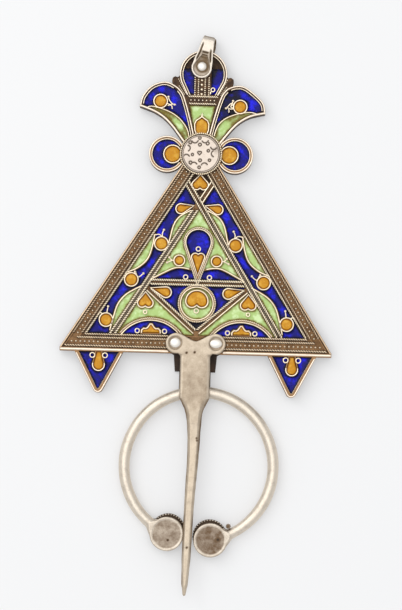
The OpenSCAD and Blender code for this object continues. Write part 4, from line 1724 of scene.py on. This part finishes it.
@dataclass
class Ring:
    """The open ring: a round rod and two round ends, cast in one.

    Attributes:
        centre: Its middle.
        radius: Radius of the rod's middle line.
        mouth: Direction of the gap's middle in degrees.
        turn: Angle of each end's disc from the gap's middle.
        rod: Radius of the rod.
        rod_z: Height of the rod's middle line.
        face_z: Height of the discs.
        disc: Radius and height of the points of a disc's outline.
        drum: The same of the drum below it.
        drum_shift: How far the drum lies towards the ring's middle.
        tones: Side and darkness of each disc.
        knob: x, y, z and radius of the small knob beside the right disc.
    """

    centre: Point = (1.8, -89.3)
    radius: float = 21.3
    mouth: float = -96.65
    turn: float = 17.15
    rod: float = 1.62
    rod_z: float = 2.3
    face_z: float = 3.8
    disc: tuple[Pair, ...] = (
        (0.05, 3.8), (3.9, 3.8), (4.25, 3.88), (4.6, 3.95), (4.86, 3.85), (4.9, 3.55), (4.8, 3.2), (4.5, 2.9),
    )
    drum: tuple[Pair, ...] = ((4.4, 2.5), (4.86, 2.35), (4.92, 1.4), (4.75, 0.4), (4.4, 0.08), (0.05, 0.03))
    drum_shift: float = 1.0
    tones: tuple[Pair, ...] = ((-1, 0.68), (1, 0.84))
    knob: tuple[float, float, float, float] = (10.75, -106.1, 3.2, 0.75)

    def rod_line(self) -> Line:
        """The rod's middle line, a little thinner before its ends.

        Returns:
            The line.
        """
        steps = 180
        start, stop = self.mouth + self.turn + 11.6, self.mouth + 348.4 - self.turn
        path = arc(self.centre, self.radius, start, stop, steps)
        share = np.linspace(0, 1, steps + 1)
        wobble = np.array([noise.noise(Vector((s * 14, 0.3, 0))) for s in share]) * 0.04
        waist = 0.16 * (peak(share, 0.035, 0.03) + 0.4 * peak(share, 0.965, 0.03))
        return Line(np.c_[path, np.full(steps + 1, self.rod_z)], self.rod - waist + wobble)

    def neck(self, side: int) -> Line:
        """The flare of the rod towards one disc.

        Args:
            side: -1 for the left end, 1 for the right one.

        Returns:
            The line.
        """
        turns = np.linspace(16.5, 9.5, 8) + self.turn
        path = np.array([on_circle(self.centre, self.radius, self.mouth + side * turn) for turn in turns])
        return Line(np.c_[path, np.full(8, self.rod_z)], np.linspace(1.35, 3.1, 8))

    def at(self, side: int, inwards: float = 0) -> Point:
        """Middle of one end, moved towards the ring's middle."""
        return on_circle(self.centre, self.radius - inwards, self.mouth + side * self.turn)

    def add_end(self, bm: bmesh.types.BMesh, side: int) -> None:
        """Adds one round end, a drum with a disc on it.

        Args:
            bm: The mesh that it is added to.
            side: -1 for the left end, 1 for the right one.
        """
        new = lathed(self.disc + self.drum, 72)
        for vertex in new.verts:
            x, y = self.at(side, 0 if vertex.co.z > 2.8 else self.drum_shift)
            vertex.co = (vertex.co + Vector((x, y + ORIGIN_DROP, 0))) * MM
        end = from_bmesh("end", new)
        bm.from_mesh(end.data)
        bpy.data.objects.remove(end)

    def worked(self, place: np.ndarray) -> np.ndarray:
        """Hammers the ring level with its discs.

        Args:
            place: Places of the ring's points.

        Returns:
            Their new places.
        """
        far = np.min([apart(place, self.at(side)) for side in (-1, 1)], axis=0)
        limit = np.where(far < 4.2, self.face_z + 0.02, 3.9)
        return np.c_[place[:, :2], np.clip(place[:, 2], 0.03, limit)]

    def shade(self, place: np.ndarray) -> np.ndarray:
        """How dark the ring is.

        Args:
            place: Plan places.

        Returns:
            The darkness at each.
        """
        z = place[:, 2]
        darks = []
        for side, face in self.tones:
            far, wide = apart(place, self.at(side)), apart(place, self.at(side, self.drum_shift))
            darks.append(face * step(4.35 - far, 0, 0.5) * (z > 3.3))
            darks.append(0.25 * step(7.5 - far, 0, 3))
            # Painted shade on the drum under each disc.
            darks.append(1.3 * (wide < 5.3) * (far > 3) * (z < 3.0))
        pits = near(place, (-6.4, -110.5), 0.5) + near(place, (7.9, -110), 1.2) * 0.5
        return np.max(darks, axis=0) + pits

    def build(self, shop: Workshop) -> None:
        """Builds and seats the ring.

        Args:
            shop: The workshop.
        """
        rod = swept("rod", [self.rod_line(), self.neck(-1), self.neck(1)], 20)
        bm = bmesh.new()
        bm.from_mesh(rod.data)
        bpy.data.objects.remove(rod)
        for side in (-1, 1):
            self.add_end(bm, side)
        ring = fused(from_bmesh("ring_cast", bm), 0.2, 3)
        put(ring, self.worked(places(ring)))
        hammered(ring, 0.06, 5)
        darkened(ring, self.shade)
        shop.seat(ring, Body.RING, "ring_silver", Finish.RING, "ring")
        spots = []
        for side in (-1, 1):
            spots += row(circle(self.at(side, self.drum_shift), 4.68, 60), 0.8, 2.55, 0.24, True)
        beaded = beads("ring_end_beads", spots + [self.knob])
        darkened(beaded, lambda place: 0.1 + 1.1 * near(place, self.knob[:2], 1.5))
        shop.seat(beaded, Body.RING, "ring_silver", Finish.RING)


@dataclass
class Bail:
    """The folded strap at the top, with its rivet.

    Attributes:
        rivet: Plan place of the rivet.
        lean: Lean of the strap in degrees.
        edge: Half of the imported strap's width at the rivet.
        end: Half of its width at the fold.
        fold: Distance of the fold from the rivet.
        top: Height of the strap's upper side.
        rows: Half-width of the finished strap at distances from the rivet.
        head_z: Height from which the rivet's head is beaten flatter.
    """

    rivet: Point = (-0.4, 25)
    lean: float = 12.6
    edge: float = 2.95
    end: float = 1.45
    fold: float = 6.5
    top: float = 5.2
    rows: tuple[Pair, ...] = ((0, 2.9), (2, 2.65), (4.1, 2.2), (6.6, 1.9), (8, 1.7), (9.1, 1.4))
    head_z: float = 4.8

    def own(self, place: np.ndarray) -> tuple[np.ndarray, np.ndarray, np.ndarray]:
        """Places measured from the rivet.

        Args:
            place: Plan places.

        Returns:
            The distance of each across the strap and along it, and its height.
        """
        turn = math.radians(self.lean)
        x, y = place[:, 0] - self.rivet[0], place[:, 1] - self.rivet[1]
        return x * math.cos(turn) - y * math.sin(turn), x * math.sin(turn) + y * math.cos(turn), place[:, 2]

    def bent(self, place: np.ndarray) -> np.ndarray:
        """Makes the strap as wide as its rows say, its fold squarer and its back leg askew.

        Args:
            place: Places of the strap's points.

        Returns:
            Their new places.
        """
        x, y, z = self.own(place)
        half = np.interp(y, (0, self.fold), (self.edge, self.end))
        x = x * np.where(y > 0, np.interp(y, *zip(*self.rows)) / half, 1)
        radius = self.top / 2
        far, high = np.maximum(y - self.fold, 0) / radius, (z - radius) / radius
        round_out = np.hypot(far, high) / np.maximum((far**3.4 + np.abs(high) ** 3.4) ** (1 / 3.4), 1e-6)
        z = np.where(y > self.fold, radius + high * round_out * radius, z)
        y = np.where(y > self.fold, self.fold + far * round_out * radius, y)
        x = x + 0.5 * step(y, 2, 5) * step(-z, -3, -1.4)
        turn = math.radians(self.lean)
        cos, sin = math.cos(turn), math.sin(turn)
        return np.c_[x * cos + y * sin + self.rivet[0], y * cos - x * sin + self.rivet[1], z]

    def inside(self, place: np.ndarray) -> np.ndarray:
        """Distance of places from the strap's edge.

        Args:
            place: Plan places.

        Returns:
            The distance of each.
        """
        x, y, _ = self.own(place)
        half = np.interp(y, *zip(*self.rows))
        return np.where(y < -0.4, self.edge - np.hypot(x, y + 0.4), half - np.abs(x))

    def marks(self, place: np.ndarray) -> np.ndarray:
        """Depth of the strap's grooves, its slit and the ridges below it.

        Args:
            place: Plan places.

        Returns:
            The depth at each, from 0 to 1.
        """
        x, y, z = self.own(place)
        inside = self.inside(place)
        groove = step(inside, 0.42, 0.55) * step(-inside, -0.95, -0.8)
        groove *= step(y, 1.3, 2.2) * step(-y, -7.2, -6)
        across = step(-np.abs(x), -0.95, -0.75)
        slit = peak(y, 4.15, 0.2) * across
        ridge = (peak(y, 3.4, 0.12) + peak(y, 2.7, 0.12)) * across * 0.5
        return np.clip(groove * np.where(x < 0, 1, step(-y, -5.6, -4.6)) + slit + ridge, 0, 1) * (z > 4.2)

    def shade(self, place: np.ndarray) -> np.ndarray:
        """How dark the strap is.

        Args:
            place: Plan places.

        Returns:
            The darkness at each.
        """
        x, y, z = self.own(place)
        floor = step(self.inside(place), 0.45, 0.75) * step(-y, -4.9, -4.2)
        floor *= 0.34 + 0.22 * step(y, -1.5, 1.5)
        ring = peak(np.hypot(x - 0.1, y), 1.5, 0.3) * 0.6
        return (floor + ring) * (z > 4.2) + self.marks(place) * 0.85

    def build(self, shop: Workshop) -> None:
        """Builds and seats the bail and its rivet's head.

        Args:
            shop: The workshop.
        """
        bail = softened("bail_strap", "bail", 0.12, 3)
        put(bail, self.bent(places(bail)))
        lowered(bail, 0.3 * self.marks(places(bail)))
        hammered(bail, 0.06, 2)
        darkened(bail, self.shade)
        shop.seat(bail, Body.BAIL, "bail_silver", Finish.BAIL, "bail")
        head = softened("bail_rivet_head", "bail_rivet", 0.12, 3)
        lowered(head, np.maximum(places(head)[:, 2] - self.head_z, 0) * 0.35)
        shop.seat(head, Body.BROOCH, "rivet_silver", Finish.RIVET, "bail_rivet")


@dataclass
class Studio:
    """Floor, lights and camera.

    Attributes:
        foot: Distance of the camera's foot below the medallion, along the picture's height.
        height: Height of the camera above the plate, in millimetres.
        across: Height of the picture on the plate, in millimetres.
        shift: Upward shift of the picture, in picture heights.
        roll: Turn of the brooch in the picture, in degrees clockwise.
        tilt: Lean of the camera's axis from the vertical, in degrees.
        room: Brightness of the room.
        paper_glow: Brightness that the floor adds of its own.
        lamps: Name, place, size and power of each light.
    """

    foot: float = 74
    height: float = 600
    across: float = 174.1
    shift: float = 0.1167
    roll: float = 1.6
    tilt: float = 1.0
    room: float = 0.8
    paper_glow: float = 0.3
    lamps: tuple[tuple[str, Spot, float, float], ...] = (
        ("top_light", (-0.2, 0.2, 1.0), 1.1, 4.4),
        ("key_light", (-0.5, 0.45, 0.55), 0.25, 0.7),
    )

    def floor(self) -> None:
        """A plain pale floor."""
        bm = bmesh.new()
        bmesh.ops.create_grid(bm, x_segments=1, y_segments=1, size=1.5)
        piece = from_bmesh("floor", bm)
        piece.data.materials.append(self.paper())

    def paper(self) -> bpy.types.Material:
        """The floor's finish: pale and matt, with a faint glow of its own.

        Returns:
            The material.
        """
        return Shade(bpy.data.materials.new("floor_paper")).finish({
            "Base Color": (0.56, 0.56, 0.56, 1),
            "Roughness": 0.9,
            "Specular IOR Level": 0.1,
            "Emission Color": (1, 1, 1, 1),
            "Emission Strength": self.paper_glow,
        })

    def light(self) -> None:
        """Soft studio light: a dim room and large square lights that face the brooch."""
        world = bpy.data.worlds.new("room")
        world.use_nodes = True
        background = world.node_tree.nodes["Background"]
        background.inputs[0].default_value = (0.97, 0.98, 1, 1)
        background.inputs[1].default_value = self.room
        bpy.context.scene.world = world
        for name, at, size, power in self.lamps:
            data = bpy.data.lights.new(name, "AREA")
            data.shape = "SQUARE"
            data.size = size
            data.energy = power
            piece = linked(name, data)
            piece.location = at
            piece.rotation_euler = (-Vector(at)).to_track_quat("-Z", "Y").to_euler()

    def camera(self) -> None:
        """The camera, above the brooch and looking almost straight down."""
        data = bpy.data.cameras.new("camera")
        tilt, roll = math.radians(self.tilt), math.radians(self.roll)
        data.lens = data.sensor_width * self.height / math.cos(tilt) / self.across
        data.shift_y = self.shift
        place = Vector((0, -self.foot, 0))
        place.rotate(Matrix.Rotation(roll, 3, "Z"))
        place += Vector((0, ORIGIN_DROP, TOP_Z + self.height))
        turn = Matrix.Rotation(roll, 4, "Z") @ Matrix.Rotation(tilt, 4, "X")
        piece = linked("camera", data)
        piece.matrix_world = Matrix.Translation(place * MM) @ turn
        bpy.context.scene.camera = piece

    def build(self) -> None:
        """Builds the studio."""
        bpy.context.scene.view_settings.view_transform = "Standard"
        self.floor()
        self.light()
        self.camera()


def main() -> None:
    """Builds every sub-assembly in order, then the studio."""
    logging.basicConfig(level=logging.INFO, format="%(message)s")
    shop = Workshop()
    shop.dress(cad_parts["pediment"], Finish.PLATE)
    for part in (
        Border(),
        Bands(),
        CellWalls(),
        Tendrils(),
        Palmette(),
        CornerPoints(),
        Glass("enamel_blue", Finish.BLUE, "blue_glass", 3.2, 0.35, 0.2, DIM_BLUE),
        Glass("enamel_green", Finish.GREEN, "green_glass", 3.45, 0.3, 0.2, DIM_GREEN),
        Glass("enamel_amber", Finish.AMBER, "amber_glass", 3.95, -0.3, 0.16),
        Medallion(),
        PinSet(),
        Ring(),
        Bail(),
    ):
        part.build(shop)
        log.info("%s is done", type(part).__name__)
    Studio().build()


if __name__ == "__main__":
    main()
